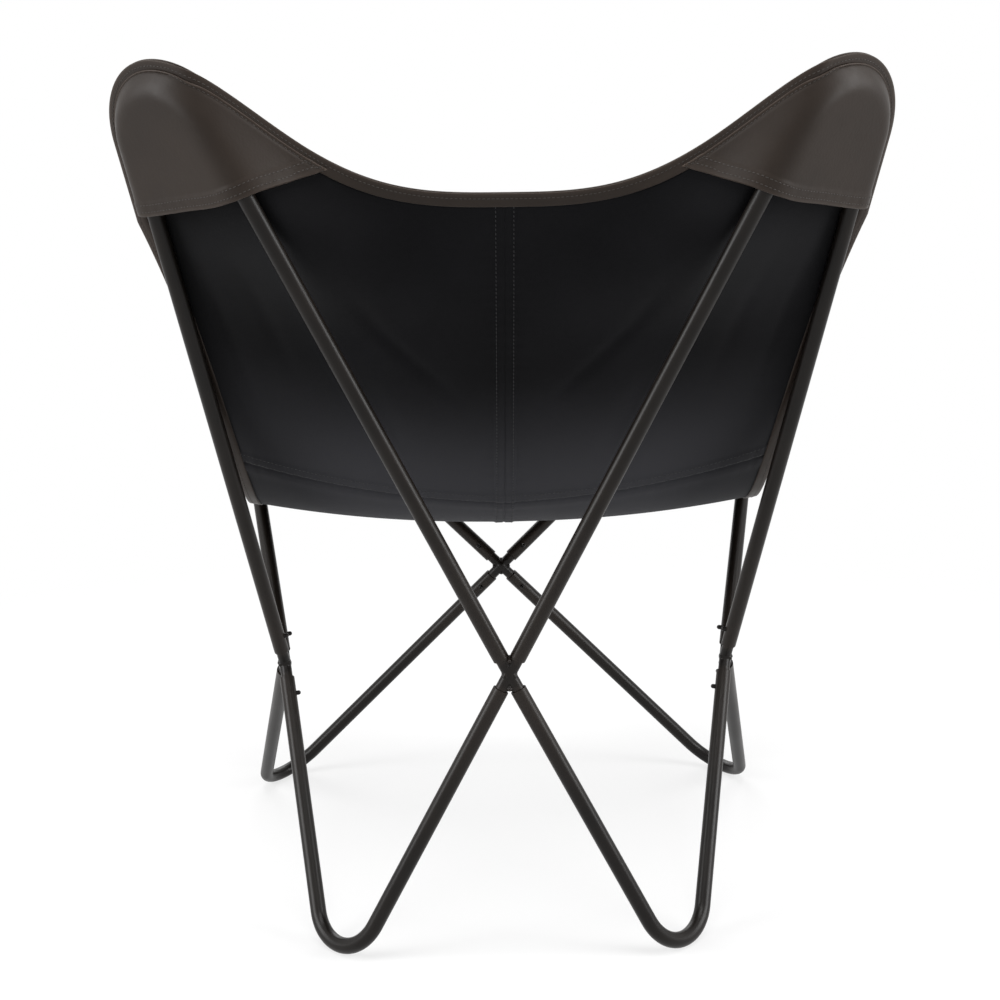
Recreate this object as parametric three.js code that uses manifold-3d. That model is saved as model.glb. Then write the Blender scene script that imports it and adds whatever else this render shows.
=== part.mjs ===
// A knock-down sling chair. Eight bent steel tubes push onto four welded crosses and lock with spring
// buttons, and a lined leather sling hangs by corner pockets from the four upper bends.
// Millimetres, +Z up, floor at Z = 0. The sitter faces -Y and the sitter's left is +X.
import * as THREE from "three";
import Module from "manifold-3d";
import { mergeVertices } from "three/addons/utils/BufferGeometryUtils.js";

// Tube and spigot
const TUBE_DIAMETER = 16;
const TUBE_WALL = 1.5;
const SPIGOT_CLEARANCE = 0.3;
const SPIGOT_WALL = 1.2;
const SPIGOT_LENGTH = 62;
const TUBE_END_FROM_HUB = 17.5;
const WELD_DIAMETER = 15;
const FLOOR_FLAT_DEPTH = 0.8;

// Centres of the crosses
const BACK_HUB_DEPTH = 240;
const BACK_HUB_HEIGHT = 291;
const FRONT_HUB_DEPTH = 240;
const FRONT_HUB_HEIGHT = 289;
const SIDE_HUB_SPREAD = 487;
const SIDE_HUB_DEPTH = 20;
const SIDE_HUB_HEIGHT = 241;

// Bends of the tubes: where each bend's highest or lowest point lies, and its radius on the centre line
const REAR_FOOT_SPREAD = 350;
const REAR_FOOT_DEPTH = 222;
const FRONT_FOOT_SPREAD = 586;
const FRONT_FOOT_DEPTH = 268;
const FOOT_BEND_RADIUS = 47;
const BACK_TIP_SPREAD = 606;
const BACK_TIP_DEPTH = 284;
const BACK_TIP_HEIGHT = 834;
const BACK_BEND_RADIUS = 52;
const FRONT_TIP_SPREAD = 604;
const FRONT_TIP_DEPTH = 320;
const FRONT_TIP_HEIGHT = 540;
const FRONT_BEND_RADIUS = 48;

// Spring buttons that lock a tube on its spigot
const BUTTON_FROM_HUB = 37;
const BUTTON_DIAMETER = 5;
const BUTTON_PROUD = 4.6;
const BUTTON_CLEARANCE = 0.25;
const FLANGE_DIAMETER = 6;
const FLANGE_THICKNESS = 0.5;
const SPRING_THICKNESS = 0.5;
const SPRING_WIDTH = 3;
const SPRING_REACH = 19;
const SPRING_CLEARANCE = 0.3;

// Sling layers
const LEATHER = 1.6;
const CANVAS = 0.9;
const EDGING = 1.2;
const LAYER_GAP = 0.3;
const POCKET_GAP = 1;
const TUBE_TO_SLING = 0.9;

// Sling shape
const POCKET_MARGIN = 27;
const BACK_POCKET_LENGTH = 78;
const FRONT_POCKET_LENGTH = 60;
const FRONT_CORNER_TURN = THREE.MathUtils.degToRad(50);
const TOP_EDGE = [248, 744.5];
const UPPER_BACK = [204, 638];
const LOWER_SEAM = [92, 439];
const SEAT_REAR = [10, 396];
const SEAT_LOW = [-125, 394];
const FRONT_EDGE = [-300, 452];
const FRONT_SWEEP = 0.6;
const SIDE_EDGE_LOW = [277, -10, 419];
const SIDE_LEAVE = 0.68;
const SIDE_EASE = 2.97;
const HOLD_FADE_DOWN = 130;
const HOLD_FADE_ACROSS = 190;
const INNER_TURN = 0.7;
const INNER_TURN_FROM = 10;
const INNER_TURN_SOFT = 8;
const FOLD_HEIGHT = 3;
const FOLD_WIDTH = 0.1;

// Facets
const TUBE_SIDES = 14;
const SPIGOT_SIDES = 10;
const BEND_STEPS = 8;
const BUTTON_SIDES = 8;
const HALF_COLUMNS = 11;
const BACK_ROW_COUNT = 14;
const SEAT_ROW_COUNT = 13;
const POCKET_COLUMNS = 12;
const POCKET_ROWS = 7;

const TUBE_RADIUS = TUBE_DIAMETER / 2;
const TUBE_BORE_RADIUS = TUBE_RADIUS - TUBE_WALL;
const SPIGOT_RADIUS = TUBE_BORE_RADIUS - SPIGOT_CLEARANCE;
const SPIGOT_BORE_RADIUS = SPIGOT_RADIUS - SPIGOT_WALL;
const BUTTON_RADIUS = BUTTON_DIAMETER / 2;
const BUTTON_TIP = TUBE_RADIUS + BUTTON_PROUD;

const point = (x, y, z) => new THREE.Vector3(x, y, z);
const mirrored = (p) => point(-p.x, p.y, p.z);
const X_AXIS = point(1, 0, 0);
const Y_AXIS = point(0, 1, 0);
const Z_AXIS = point(0, 0, 1);

const BACK_HUB = point(0, BACK_HUB_DEPTH, BACK_HUB_HEIGHT);
const FRONT_HUB = point(0, -FRONT_HUB_DEPTH, FRONT_HUB_HEIGHT);
const LEFT_HUB = point(SIDE_HUB_SPREAD / 2, SIDE_HUB_DEPTH, SIDE_HUB_HEIGHT);

// Boolean work

const wasm = await Module();
wasm.setup();

function toSolid(geometry, matrix = new THREE.Matrix4()) {
  const bare = new THREE.BufferGeometry();
  const loose = geometry.index ? geometry.toNonIndexed() : geometry;
  bare.setAttribute("position", loose.getAttribute("position").clone());
  const welded = mergeVertices(bare.applyMatrix4(matrix), 1e-4);
  const mesh = new wasm.Mesh({
    numProp: 3,
    vertProperties: welded.getAttribute("position").array,
    triVerts: new Uint32Array(welded.index.array),
  });
  return new wasm.Manifold(mesh);
}

function toGeometry(solid) {
  const mesh = solid.getMesh();
  const geometry = new THREE.BufferGeometry();
  geometry.setAttribute("position", new THREE.BufferAttribute(mesh.vertProperties, 3));
  geometry.setIndex(new THREE.BufferAttribute(mesh.triVerts, 1));
  return geometry;
}

// A round bar from one point to another.
function barSolid(from, to, radius, sides) {
  const way = to.clone().sub(from);
  const turn = new THREE.Quaternion().setFromUnitVectors(Y_AXIS, way.clone().normalize());
  const middle = from.clone().lerp(to, 0.5);
  const place = new THREE.Matrix4().compose(middle, turn, point(1, 1, 1));
  return toSolid(new THREE.CylinderGeometry(radius, radius, way.length(), sides), place);
}

// Bent tubes

// A corner rounded with a bend radius: the leg directions away from the apex, and the bend's centre.
function roundedCorner(apex, from, to, radius) {
  const first = from.clone().sub(apex).normalize();
  const second = to.clone().sub(apex).normalize();
  const half = first.angleTo(second) / 2;
  const inward = first.clone().add(second).normalize();
  const centre = apex.clone().addScaledVector(inward, radius / Math.sin(half));
  return { first, second, half, inward, centre, reach: radius / Math.tan(half) };
}

// The way in the bend's plane that climbs (or falls) most steeply.
function steepestWay(corner, upDown) {
  const across = corner.first.clone().sub(corner.second).normalize();
  const way = corner.inward.clone().multiplyScalar(upDown * corner.inward.z);
  return way.addScaledVector(across, upDown * across.z).normalize();
}

// The apex whose rounded bend has its highest or lowest point at the tip.
function apexForTip(tip, from, to, radius, upDown) {
  const apex = tip.clone().addScaledVector(Z_AXIS, upDown * radius);
  for (let round = 0; round < 200; round++) {
    const corner = roundedCorner(apex, from, to, radius);
    const reached = corner.centre.clone().addScaledVector(steepestWay(corner, upDown), radius);
    apex.addScaledVector(tip.clone().sub(reached), 0.7);
  }
  return apex;
}

// Straight leg, round bend, straight leg, with a ring at each end of a leg, at the tip and along the bend.
class BentPath extends THREE.Curve {
  constructor(from, apex, to, radius, upDown) {
    super();
    this.corner = roundedCorner(apex, from, to, radius);
    this.radius = radius;
    this.start = from.clone().addScaledVector(this.corner.first, -TUBE_END_FROM_HUB);
    this.finish = to.clone().addScaledVector(this.corner.second, -TUBE_END_FROM_HUB);
    this.bendStart = apex.clone().addScaledVector(this.corner.first, this.corner.reach);
    this.bendFinish = apex.clone().addScaledVector(this.corner.second, this.corner.reach);
    this.turn = Math.PI - 2 * this.corner.half;
    this.out = this.bendStart.clone().sub(this.corner.centre).normalize();
    this.along = this.corner.first.clone().negate();
    this.tipTurn = this.out.angleTo(steepestWay(this.corner, upDown));
    this.steps = BEND_STEPS + 2;
  }
  getUtoTmapping(u) {
    return u;
  }
  bendAngle(station) {
    const share = THREE.MathUtils.clamp((station - 1) / BEND_STEPS, 0, 1);
    if (share < 0.5) return 2 * share * this.tipTurn;
    return this.tipTurn + (2 * share - 1) * (this.turn - this.tipTurn);
  }
  getPoint(t, target = point(0, 0, 0)) {
    const station = t * this.steps;
    if (station <= 1) return target.lerpVectors(this.start, this.bendStart, station);
    if (station >= this.steps - 1) {
      return target.lerpVectors(this.bendFinish, this.finish, station - this.steps + 1);
    }
    const angle = this.bendAngle(station);
    target.copy(this.corner.centre).addScaledVector(this.out, this.radius * Math.cos(angle));
    return target.addScaledVector(this.along, this.radius * Math.sin(angle));
  }
  getTangent(t, target = point(0, 0, 0)) {
    const angle = this.bendAngle(t * this.steps);
    target.copy(this.along).multiplyScalar(Math.cos(angle));
    return target.addScaledVector(this.out, -Math.sin(angle)).normalize();
  }
}

function hollowTube(path) {
  const section = new THREE.Shape();
  section.absarc(0, 0, TUBE_RADIUS, 0, 2 * Math.PI, false);
  const bore = new THREE.Path();
  bore.absarc(0, 0, TUBE_BORE_RADIUS, 0, 2 * Math.PI, true);
  section.holes.push(bore);
  const options = { steps: path.steps, bevelEnabled: false, extrudePath: path };
  options.curveSegments = TUBE_SIDES / 2;
  return toSolid(new THREE.ExtrudeGeometry(section, options));
}

// One tube end on one spigot: the arm's way out of the hub, and the button's way into the chair.
function tubeEnd(name, hub, apex, inside) {
  const arm = apex.clone().sub(hub).normalize();
  const facing = inside.clone().addScaledVector(arm, -inside.dot(arm)).normalize();
  const seat = hub.clone().addScaledVector(arm, BUTTON_FROM_HUB);
  const across = arm.clone().cross(facing);
  const place = new THREE.Matrix4().makeBasis(arm, facing, across).setPosition(seat);
  return { name, hub, arm, facing, seat, place };
}

// The hole that a button passes through, from the spigot's axis out past the tube.
function buttonHole(end) {
  const radius = BUTTON_RADIUS + BUTTON_CLEARANCE;
  const outside = end.seat.clone().addScaledVector(end.facing, BUTTON_TIP);
  return barSolid(end.seat, outside, radius, BUTTON_SIDES);
}

const BACK_TIP = point(BACK_TIP_SPREAD / 2, BACK_TIP_DEPTH, BACK_TIP_HEIGHT);
const FRONT_TIP = point(FRONT_TIP_SPREAD / 2, -FRONT_TIP_DEPTH, FRONT_TIP_HEIGHT);
const FOOT_CENTRE_HEIGHT = TUBE_RADIUS - FLOOR_FLAT_DEPTH;
const REAR_FOOT = point(REAR_FOOT_SPREAD / 2, REAR_FOOT_DEPTH, FOOT_CENTRE_HEIGHT);
const FRONT_FOOT = point(FRONT_FOOT_SPREAD / 2, -FRONT_FOOT_DEPTH, FOOT_CENTRE_HEIGHT);

const TUBE_KINDS = [
  { kind: "loop", row: "back", hub: BACK_HUB, tip: BACK_TIP, radius: BACK_BEND_RADIUS, upDown: 1 },
  { kind: "loop", row: "front", hub: FRONT_HUB, tip: FRONT_TIP, radius: FRONT_BEND_RADIUS, upDown: 1 },
  { kind: "foot", row: "back", hub: BACK_HUB, tip: REAR_FOOT, radius: FOOT_BEND_RADIUS, upDown: -1 },
  { kind: "foot", row: "front", hub: FRONT_HUB, tip: FRONT_FOOT, radius: FOOT_BEND_RADIUS, upDown: -1 },
];

const tubes = [];
for (const { kind, row, hub, tip, radius, upDown } of TUBE_KINDS) {
  const leftApex = apexForTip(tip, hub, LEFT_HUB, radius, upDown);
  for (const side of ["left", "right"]) {
    const place = (p) => (side === "left" ? p.clone() : mirrored(p));
    const apex = place(leftApex);
    const sideHub = place(LEFT_HUB);
    const name = `${row}_${side}_${kind}`;
    const middleInside = row === "back" ? Y_AXIS.clone().negate() : Y_AXIS;
    const sideInside = side === "left" ? X_AXIS.clone().negate() : X_AXIS;
    const ends = [
      tubeEnd(`${name}_${row}`, hub, apex, middleInside),
      tubeEnd(`${name}_${side}`, sideHub, apex, sideInside),
    ];
    const path = new BentPath(hub, apex, sideHub, radius, upDown);
    tubes.push({ name, upDown, ends, hubs: [row, side], path });
  }
}

function tubeSolid(tube) {
  let solid = hollowTube(tube.path);
  for (const end of tube.ends) solid = solid.subtract(buttonHole(end));
  if (tube.upDown > 0) return solid;
  const size = 4 * FOOT_BEND_RADIUS;
  const below = new THREE.BoxGeometry(size, size, TUBE_DIAMETER);
  const foot = tube.path.getPoint(0.5);
  const place = new THREE.Matrix4().makeTranslation(foot.x, foot.y, -TUBE_RADIUS);
  return solid.subtract(toSolid(below, place));
}

// Welded crosses: four spigots round a weld, each bored from its free end for a button's spring.

function crossSolid(hub, ends) {
  const weld = new THREE.SphereGeometry(WELD_DIAMETER / 2, SPIGOT_SIDES, SPIGOT_SIDES / 2);
  let solid = toSolid(weld, new THREE.Matrix4().makeTranslation(hub.x, hub.y, hub.z));
  for (const end of ends) {
    const tip = hub.clone().addScaledVector(end.arm, SPIGOT_LENGTH);
    solid = solid.add(barSolid(hub, tip, SPIGOT_RADIUS, SPIGOT_SIDES));
  }
  for (const end of ends) {
    const floor = hub.clone().addScaledVector(end.arm, BUTTON_FROM_HUB - FLANGE_DIAMETER);
    const past = hub.clone().addScaledVector(end.arm, SPIGOT_LENGTH + 1);
    solid = solid.subtract(barSolid(floor, past, SPIGOT_BORE_RADIUS, SPIGOT_SIDES));
    solid = solid.subtract(buttonHole(end));
  }
  return solid;
}

// Spring buttons. The flange stops inside the spigot's bore, and the round tip stands proud of the tube.

const FLANGE_RADIUS = FLANGE_DIAMETER / 2;
const BORE_FLAT_RADIUS = SPIGOT_BORE_RADIUS * Math.cos(Math.PI / SPIGOT_SIDES);
const FLANGE_TOP = Math.sqrt(BORE_FLAT_RADIUS ** 2 - FLANGE_RADIUS ** 2) - BUTTON_CLEARANCE / 2;
const FLANGE_FLOOR = FLANGE_TOP - FLANGE_THICKNESS;

function buttonGeometry() {
  const profile = [
    new THREE.Vector2(0, FLANGE_FLOOR),
    new THREE.Vector2(FLANGE_RADIUS, FLANGE_FLOOR),
    new THREE.Vector2(FLANGE_RADIUS, FLANGE_TOP),
    new THREE.Vector2(BUTTON_RADIUS, FLANGE_TOP),
  ];
  const domeSteps = 3;
  for (let step = 0; step <= domeSteps; step++) {
    const angle = (step / domeSteps) * (Math.PI / 2);
    const across = step === domeSteps ? 0 : BUTTON_RADIUS * Math.cos(angle);
    profile.push(new THREE.Vector2(across, BUTTON_TIP - BUTTON_RADIUS * (1 - Math.sin(angle))));
  }
  return new THREE.LatheGeometry(profile, BUTTON_SIDES);
}

// A flat strip that follows a line of points in the plane, cut square at both ends.
function stripShape(line, thickness) {
  const edge = (sign) =>
    line.map((p, i) => {
      const before = line[Math.max(i - 1, 0)];
      const after = line[Math.min(i + 1, line.length - 1)];
      const way = after.clone().sub(before).normalize();
      const across = new THREE.Vector2(-way.y, way.x);
      return p.clone().addScaledVector(across, (sign * thickness) / 2);
    });
  return new THREE.Shape([...edge(-1), ...edge(1).reverse()]);
}

// The bent leaf under a button: one leaf carries the flange, the other lies on the far wall of the bore.
function springGeometry() {
  const upper = FLANGE_FLOOR - SPRING_CLEARANCE - SPRING_THICKNESS / 2;
  const corner = Math.sqrt((BORE_FLAT_RADIUS - SPRING_CLEARANCE) ** 2 - (SPRING_WIDTH / 2) ** 2);
  const lower = -corner + SPRING_THICKNESS / 2;
  const line = [
    new THREE.Vector2(-FLANGE_RADIUS, upper),
    new THREE.Vector2(FLANGE_RADIUS, upper),
    new THREE.Vector2(0.55 * SPRING_REACH, 0.4 * upper),
    new THREE.Vector2(0.95 * SPRING_REACH, 0.6 * lower),
    new THREE.Vector2(SPRING_REACH, 0.8 * lower),
    new THREE.Vector2(0.95 * SPRING_REACH, lower),
    new THREE.Vector2(-FLANGE_RADIUS, lower),
  ];
  const options = { depth: SPRING_WIDTH, bevelEnabled: false };
  const geometry = new THREE.ExtrudeGeometry(stripShape(line, SPRING_THICKNESS), options);
  return geometry.translate(0, 0, -SPRING_WIDTH / 2);
}

// The sling's middle surface. Across it u runs from -1 to 1, along it v runs from the top edge to the
// front edge. Its rows hang between the two side edges, and its corners lie on the loops.

const V_BACK_POCKET = 0.24;
const V_SEAM = 0.52;
const V_SEAT_REAR = 0.62;
const V_SEAT_LOW = 0.76;
const V_FRONT_POCKET = 0.86;
const SKIN_LOW = LAYER_GAP / 2 + CANVAS + LAYER_GAP / 2;
const SKIN_HIGH = TUBE_RADIUS + TUBE_TO_SLING + SKIN_LOW;

const smooth = (a, b, x) => THREE.MathUtils.smoothstep(x, a, b);
const mix = THREE.MathUtils.lerp;

// How a loop carries its corner: its plane, the pocket's edge round its bend, and the way cloth is eased.
function loopCarrier(tube, ease, pocketLength, cornerTurn, innerTurn) {
  const { corner, radius } = tube.path;
  const normal = corner.first.clone().cross(corner.second).normalize();
  if (normal.z < 0) normal.negate();
  const toApex = corner.inward.clone().multiplyScalar(-radius / Math.sin(corner.half));
  const innerSide = toApex.clone().addScaledVector(corner.first, corner.reach).normalize();
  const outerSide = toApex.clone().addScaledVector(corner.second, corner.reach).normalize();
  const top = steepestWay(corner, 1);
  const round = outerSide.clone().addScaledVector(top, -outerSide.dot(top)).normalize();
  const turned = (cos, sin) => top.clone().multiplyScalar(cos).addScaledVector(round, sin);
  const start = turned(Math.cos(cornerTurn), -Math.sin(cornerTurn));
  const quarter = turned(Math.sin(cornerTurn), Math.cos(cornerTurn));
  const turn = top.angleTo(outerSide) + cornerTurn;
  const lean = ease.clone().divideScalar(ease.dot(normal));
  const sides = { innerSide, outerSide, start, quarter };
  return { corner, radius, normal, ...sides, turn, lean, pocketLength, innerTurn };
}

const leftLoop = (row) => tubes.find((tube) => tube.name === `${row}_left_loop`);
const backCarrier = loopCarrier(leftLoop("back"), Y_AXIS, BACK_POCKET_LENGTH, 0, INNER_TURN);
const frontCarrier = loopCarrier(leftLoop("front"), Z_AXIS, FRONT_POCKET_LENGTH, FRONT_CORNER_TURN, 0);

// The pocket's edge, from the corner of the sling (0) round the bend and down the outer leg (1).
function pocketEdge(carrier, share) {
  const reach = carrier.radius + POCKET_MARGIN;
  const arc = carrier.turn * reach;
  const run = share * (arc + carrier.pocketLength);
  const angle = Math.min(run, arc) / reach;
  const p = carrier.corner.centre.clone().addScaledVector(carrier.start, reach * Math.cos(angle));
  p.addScaledVector(carrier.quarter, reach * Math.sin(angle));
  p.addScaledVector(carrier.corner.second, Math.max(run - arc, 0));
  return p.addScaledVector(carrier.normal, SKIN_LOW);
}

function hermite(from, fromWay, to, toWay, t) {
  const p = from.clone().multiplyScalar(2 * t ** 3 - 3 * t ** 2 + 1);
  p.addScaledVector(fromWay, t ** 3 - 2 * t ** 2 + t);
  p.addScaledVector(to, -2 * t ** 3 + 3 * t ** 2);
  return p.addScaledVector(toWay, t ** 3 - t ** 2);
}

const SIDE_LOW = point(...SIDE_EDGE_LOW);
const LOW_WAY = point(0.04, -1, -0.03);

// The left side edge: round the back pocket, down to its low point, and up round the front pocket.
function sideEdge(v) {
  if (v <= V_BACK_POCKET) return pocketEdge(backCarrier, v / V_BACK_POCKET);
  if (v >= V_FRONT_POCKET) return pocketEdge(frontCarrier, (1 - v) / (1 - V_FRONT_POCKET));
  if (v <= V_SEAT_REAR) {
    const { corner, normal, outerSide } = backCarrier;
    const from = pocketEdge(backCarrier, 1);
    const inFront = SIDE_LOW.clone().sub(from).dot(normal);
    const away = corner.second.clone().addScaledVector(outerSide, -0.2).setLength(from.distanceTo(SIDE_LOW));
    away.addScaledVector(normal, SIDE_LEAVE * inFront);
    const arrive = LOW_WAY.clone().multiplyScalar((SIDE_EASE * inFront) / LOW_WAY.dot(normal));
    const share = (v - V_BACK_POCKET) / (V_SEAT_REAR - V_BACK_POCKET);
    return hermite(from, away, SIDE_LOW, arrive, share);
  }
  const to = pocketEdge(frontCarrier, 1);
  const span = to.distanceTo(SIDE_LOW);
  const away = frontCarrier.corner.second.clone().multiplyScalar(-span);
  const share = (v - V_SEAT_REAR) / (V_FRONT_POCKET - V_SEAT_REAR);
  return hermite(SIDE_LOW, LOW_WAY.clone().multiplyScalar(0.8 * span), to, away, share);
}

const MIDDLE_LINE = [
  { v: 0, p: new THREE.Vector2(...TOP_EDGE) },
  { v: V_BACK_POCKET, p: new THREE.Vector2(...UPPER_BACK) },
  { v: V_SEAM, p: new THREE.Vector2(...LOWER_SEAM) },
  { v: V_SEAT_REAR, p: new THREE.Vector2(...SEAT_REAR) },
  { v: V_SEAT_LOW, p: new THREE.Vector2(...SEAT_LOW) },
  { v: 1, p: new THREE.Vector2(...FRONT_EDGE) },
];

// The line down the middle of the sling, as depth and height.
function middleLine(v) {
  const last = MIDDLE_LINE.length - 1;
  const next = Math.max(1, MIDDLE_LINE.findIndex((stop) => v <= stop.v));
  const slope = (i) => {
    const before = MIDDLE_LINE[Math.max(i - 1, 0)];
    const after = MIDDLE_LINE[Math.min(i + 1, last)];
    return after.p.clone().sub(before.p).divideScalar(after.v - before.v);
  };
  const from = MIDDLE_LINE[next - 1];
  const to = MIDDLE_LINE[next];
  const span = to.v - from.v;
  const fromWay = slope(next - 1).multiplyScalar(span);
  return hermite(from.p, fromWay, to.p, slope(next).multiplyScalar(span), (v - from.v) / span);
}

// A soft fold that runs from under each back pocket towards the middle of the seam.
function foldDepth(u, v) {
  const share = (v - 0.16) / (0.5 - 0.16);
  if (share <= 0 || share >= 1) return 0;
  const line = mix(0.66, 0.2, share);
  return FOLD_HEIGHT * Math.sin(Math.PI * share) * Math.exp(-(((u - line) / FOLD_WIDTH) ** 2));
}

// The left half of the sling before its corners are eased onto the loops.
function hanging(u, v) {
  const edge = sideEdge(v);
  const middle = middleLine(v);
  const winged = (power) => (1 - Math.cos(Math.PI * u ** power)) / 2;
  const seatShare = smooth(0, 0.45, v);
  const frontShare = smooth(0.72, 1, v);
  const frontRise = mix(u ** 2, u ** 3, FRONT_SWEEP);
  const rise = mix(mix(winged(1.6), u ** 2.2, seatShare), frontRise, frontShare);
  return point(edge.x * u, mix(middle.x, edge.y, rise) - foldDepth(u, v), mix(middle.y, edge.z, rise));
}

// How high the sling stands over a loop's plane, how firmly the loop holds it there, and how far it has
// turned away from that plane towards the middle, past the loop's inner leg.
function heldHeight(carrier, p, toEdge) {
  const q = p.clone().sub(carrier.corner.centre);
  q.addScaledVector(carrier.lean, -q.dot(carrier.normal));
  const beyondInner = q.dot(carrier.innerSide) - carrier.radius;
  const below = q.dot(carrier.corner.inward);
  const roundTheBend = -below > q.length() * Math.sin(carrier.corner.half);
  const straight = Math.max(q.dot(carrier.outerSide), q.dot(carrier.innerSide));
  const flatUntil = carrier.radius + TUBE_RADIUS / 2;
  const beyond = Math.max((roundTheBend ? q.length() : straight) - flatUntil, 0);
  const share = toEdge / (toEdge + beyond);
  const height = mix(SKIN_LOW, SKIN_HIGH, Math.sin((share * Math.PI) / 2));
  const length = carrier.pocketLength;
  const downLeg = 1 - smooth(0.9 * length, length + HOLD_FADE_DOWN, below);
  const hold = downLeg * (1 - smooth(TUBE_RADIUS, HOLD_FADE_ACROSS, beyondInner));
  const pastTurn = beyondInner - INNER_TURN_FROM;
  const turned = (carrier.innerTurn * (pastTurn + Math.hypot(pastTurn, INNER_TURN_SOFT))) / 2;
  return { height, hold, turned };
}

// A point of the sling's middle surface and how far a pocket's back stands off it at each end.
function slingPoint(u, v) {
  const across = Math.abs(u);
  const hung = hanging(across, v);
  const p = hung.clone();
  const toSide = hanging(1, v).distanceTo(hung) + 1e-3;
  const standOff = {};
  const ends = {
    back: [backCarrier, 0, 1 - smooth(0.2, 0.5, v)],
    front: [frontCarrier, 1, smooth(0.62, 0.9, v)],
  };
  for (const [row, [carrier, endV, near]] of Object.entries(ends)) {
    const toEnd = hanging(across, endV).distanceTo(hung) + 1e-3;
    const toEdge = (toSide ** -4 + toEnd ** -4) ** -0.25;
    const { height, hold, turned } = heldHeight(carrier, hung, toEdge);
    const above = hung.clone().sub(carrier.corner.centre).dot(carrier.normal);
    p.addScaledVector(carrier.lean, near * hold * (SKIN_LOW + turned - above));
    const lifted = height - SKIN_LOW;
    p.addScaledVector(carrier.normal, near * hold * lifted);
    standOff[row] = lifted * (2 + (hold * turned) / (SKIN_HIGH - SKIN_LOW));
  }
  if (u < 0) p.x = -p.x;
  return { p, standOff };
}

// The normal of a surface that is given by two shares, taken a little inside its edges.
function surfaceNormal(surface, a, b, aLimits, bLimits) {
  const step = 4e-3;
  const aInside = THREE.MathUtils.clamp(a, aLimits[0] + step, aLimits[1] - step);
  const bInside = THREE.MathUtils.clamp(b, bLimits[0] + step, bLimits[1] - step);
  const across = surface(aInside + step, bInside).sub(surface(aInside - step, bInside));
  const along = surface(aInside, bInside + step).sub(surface(aInside, bInside - step));
  return across.cross(along).normalize();
}

// The way from the sling towards the sitter.
function sitterWay(u, v) {
  return surfaceNormal((a, b) => slingPoint(a, b).p, u, v, [-0.985, 0.985], [0.008, 0.992]).negate();
}

// A closed sheet between two faces that are given at the same rows and columns.
function sheetGeometry(columns, rows, faces) {
  const wide = columns.length;
  const positions = [];
  for (const face of [0, 1]) {
    for (const v of rows) for (const u of columns) positions.push(...faces(u, v)[face].toArray());
  }
  const half = wide * rows.length;
  const index = [];
  const quad = (a, b, c, d) => index.push(a, b, c, a, c, d);
  const at = (row, column) => row * wide + column;
  for (let row = 0; row < rows.length - 1; row++) {
    for (let column = 0; column < wide - 1; column++) {
      const corners = [at(row, column), at(row, column + 1), at(row + 1, column + 1), at(row + 1, column)];
      const [a, b, c, d] = corners.map((k) => k + half);
      quad(...corners);
      quad(a, d, c, b);
    }
  }
  const rim = [];
  for (let column = 0; column < wide - 1; column++) rim.push(at(0, column));
  for (let row = 0; row < rows.length - 1; row++) rim.push(at(row, wide - 1));
  for (let column = wide - 1; column > 0; column--) rim.push(at(rows.length - 1, column));
  for (let row = rows.length - 1; row > 0; row--) rim.push(at(row, 0));
  rim.forEach((k, i) => {
    const next = rim[(i + 1) % rim.length];
    quad(next, k, k + half, next + half);
  });
  return facingOut(positions, index);
}

// Turns every triangle round if the surface faces inwards.
function facingOut(positions, index) {
  const corner = (k) => point(positions[3 * k], positions[3 * k + 1], positions[3 * k + 2]);
  let volume = 0;
  for (let i = 0; i < index.length; i += 3) {
    const [a, b, c] = [corner(index[i]), corner(index[i + 1]), corner(index[i + 2])];
    volume += a.dot(b.cross(c));
  }
  const geometry = new THREE.BufferGeometry();
  geometry.setAttribute("position", new THREE.Float32BufferAttribute(positions, 3));
  geometry.setIndex(volume > 0 ? index : index.slice().reverse());
  return geometry;
}

// A layer of the sling, from one distance off its middle surface to another, towards the sitter.
function layerGeometry(columns, rows, nearSide, farSide) {
  return sheetGeometry(columns, rows, (u, v) => {
    const { p } = slingPoint(u, v);
    const way = sitterWay(u, v);
    return [p.clone().addScaledVector(way, nearSide), p.clone().addScaledVector(way, farSide)];
  });
}

const steps = (count) => Array.from({ length: count + 1 }, (_, i) => i / count);
const leftColumns = steps(HALF_COLUMNS).map((t) => Math.sin((t * Math.PI) / 2));
const allColumns = [...leftColumns.slice(1).reverse().map((u) => -u), ...leftColumns];
const lowerBack = new THREE.Vector2(...LOWER_SEAM).distanceTo(new THREE.Vector2(...UPPER_BACK));
const SEAM_HALF_V = LAYER_GAP / 2 / lowerBack;
const CENTRE_HALF_U = LAYER_GAP / 2 / SIDE_LOW.x;
const backRows = steps(BACK_ROW_COUNT).map((t) => V_SEAM * (1 - Math.cos((t * Math.PI) / 2)));
const seatRows = steps(SEAT_ROW_COUNT).map((t) => V_SEAM + (1 - V_SEAM) * Math.sin((t * Math.PI) / 2));
const edgingRows = [...backRows, ...seatRows.slice(1)];
backRows[BACK_ROW_COUNT] -= SEAM_HALF_V;
seatRows[0] += SEAM_HALF_V;

const FACE = [LAYER_GAP / 2, LAYER_GAP / 2 + LEATHER];
const LINING = [-LAYER_GAP / 2 - CANVAS, -LAYER_GAP / 2];
const EDGE_STRIP = [LINING[0] - LAYER_GAP - EDGING, LINING[0] - LAYER_GAP];
const STRIP_COLUMNS = 4;
const STRIP_ROWS = 4;
const SIDE_STRIP_COLUMNS = 3;

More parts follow.
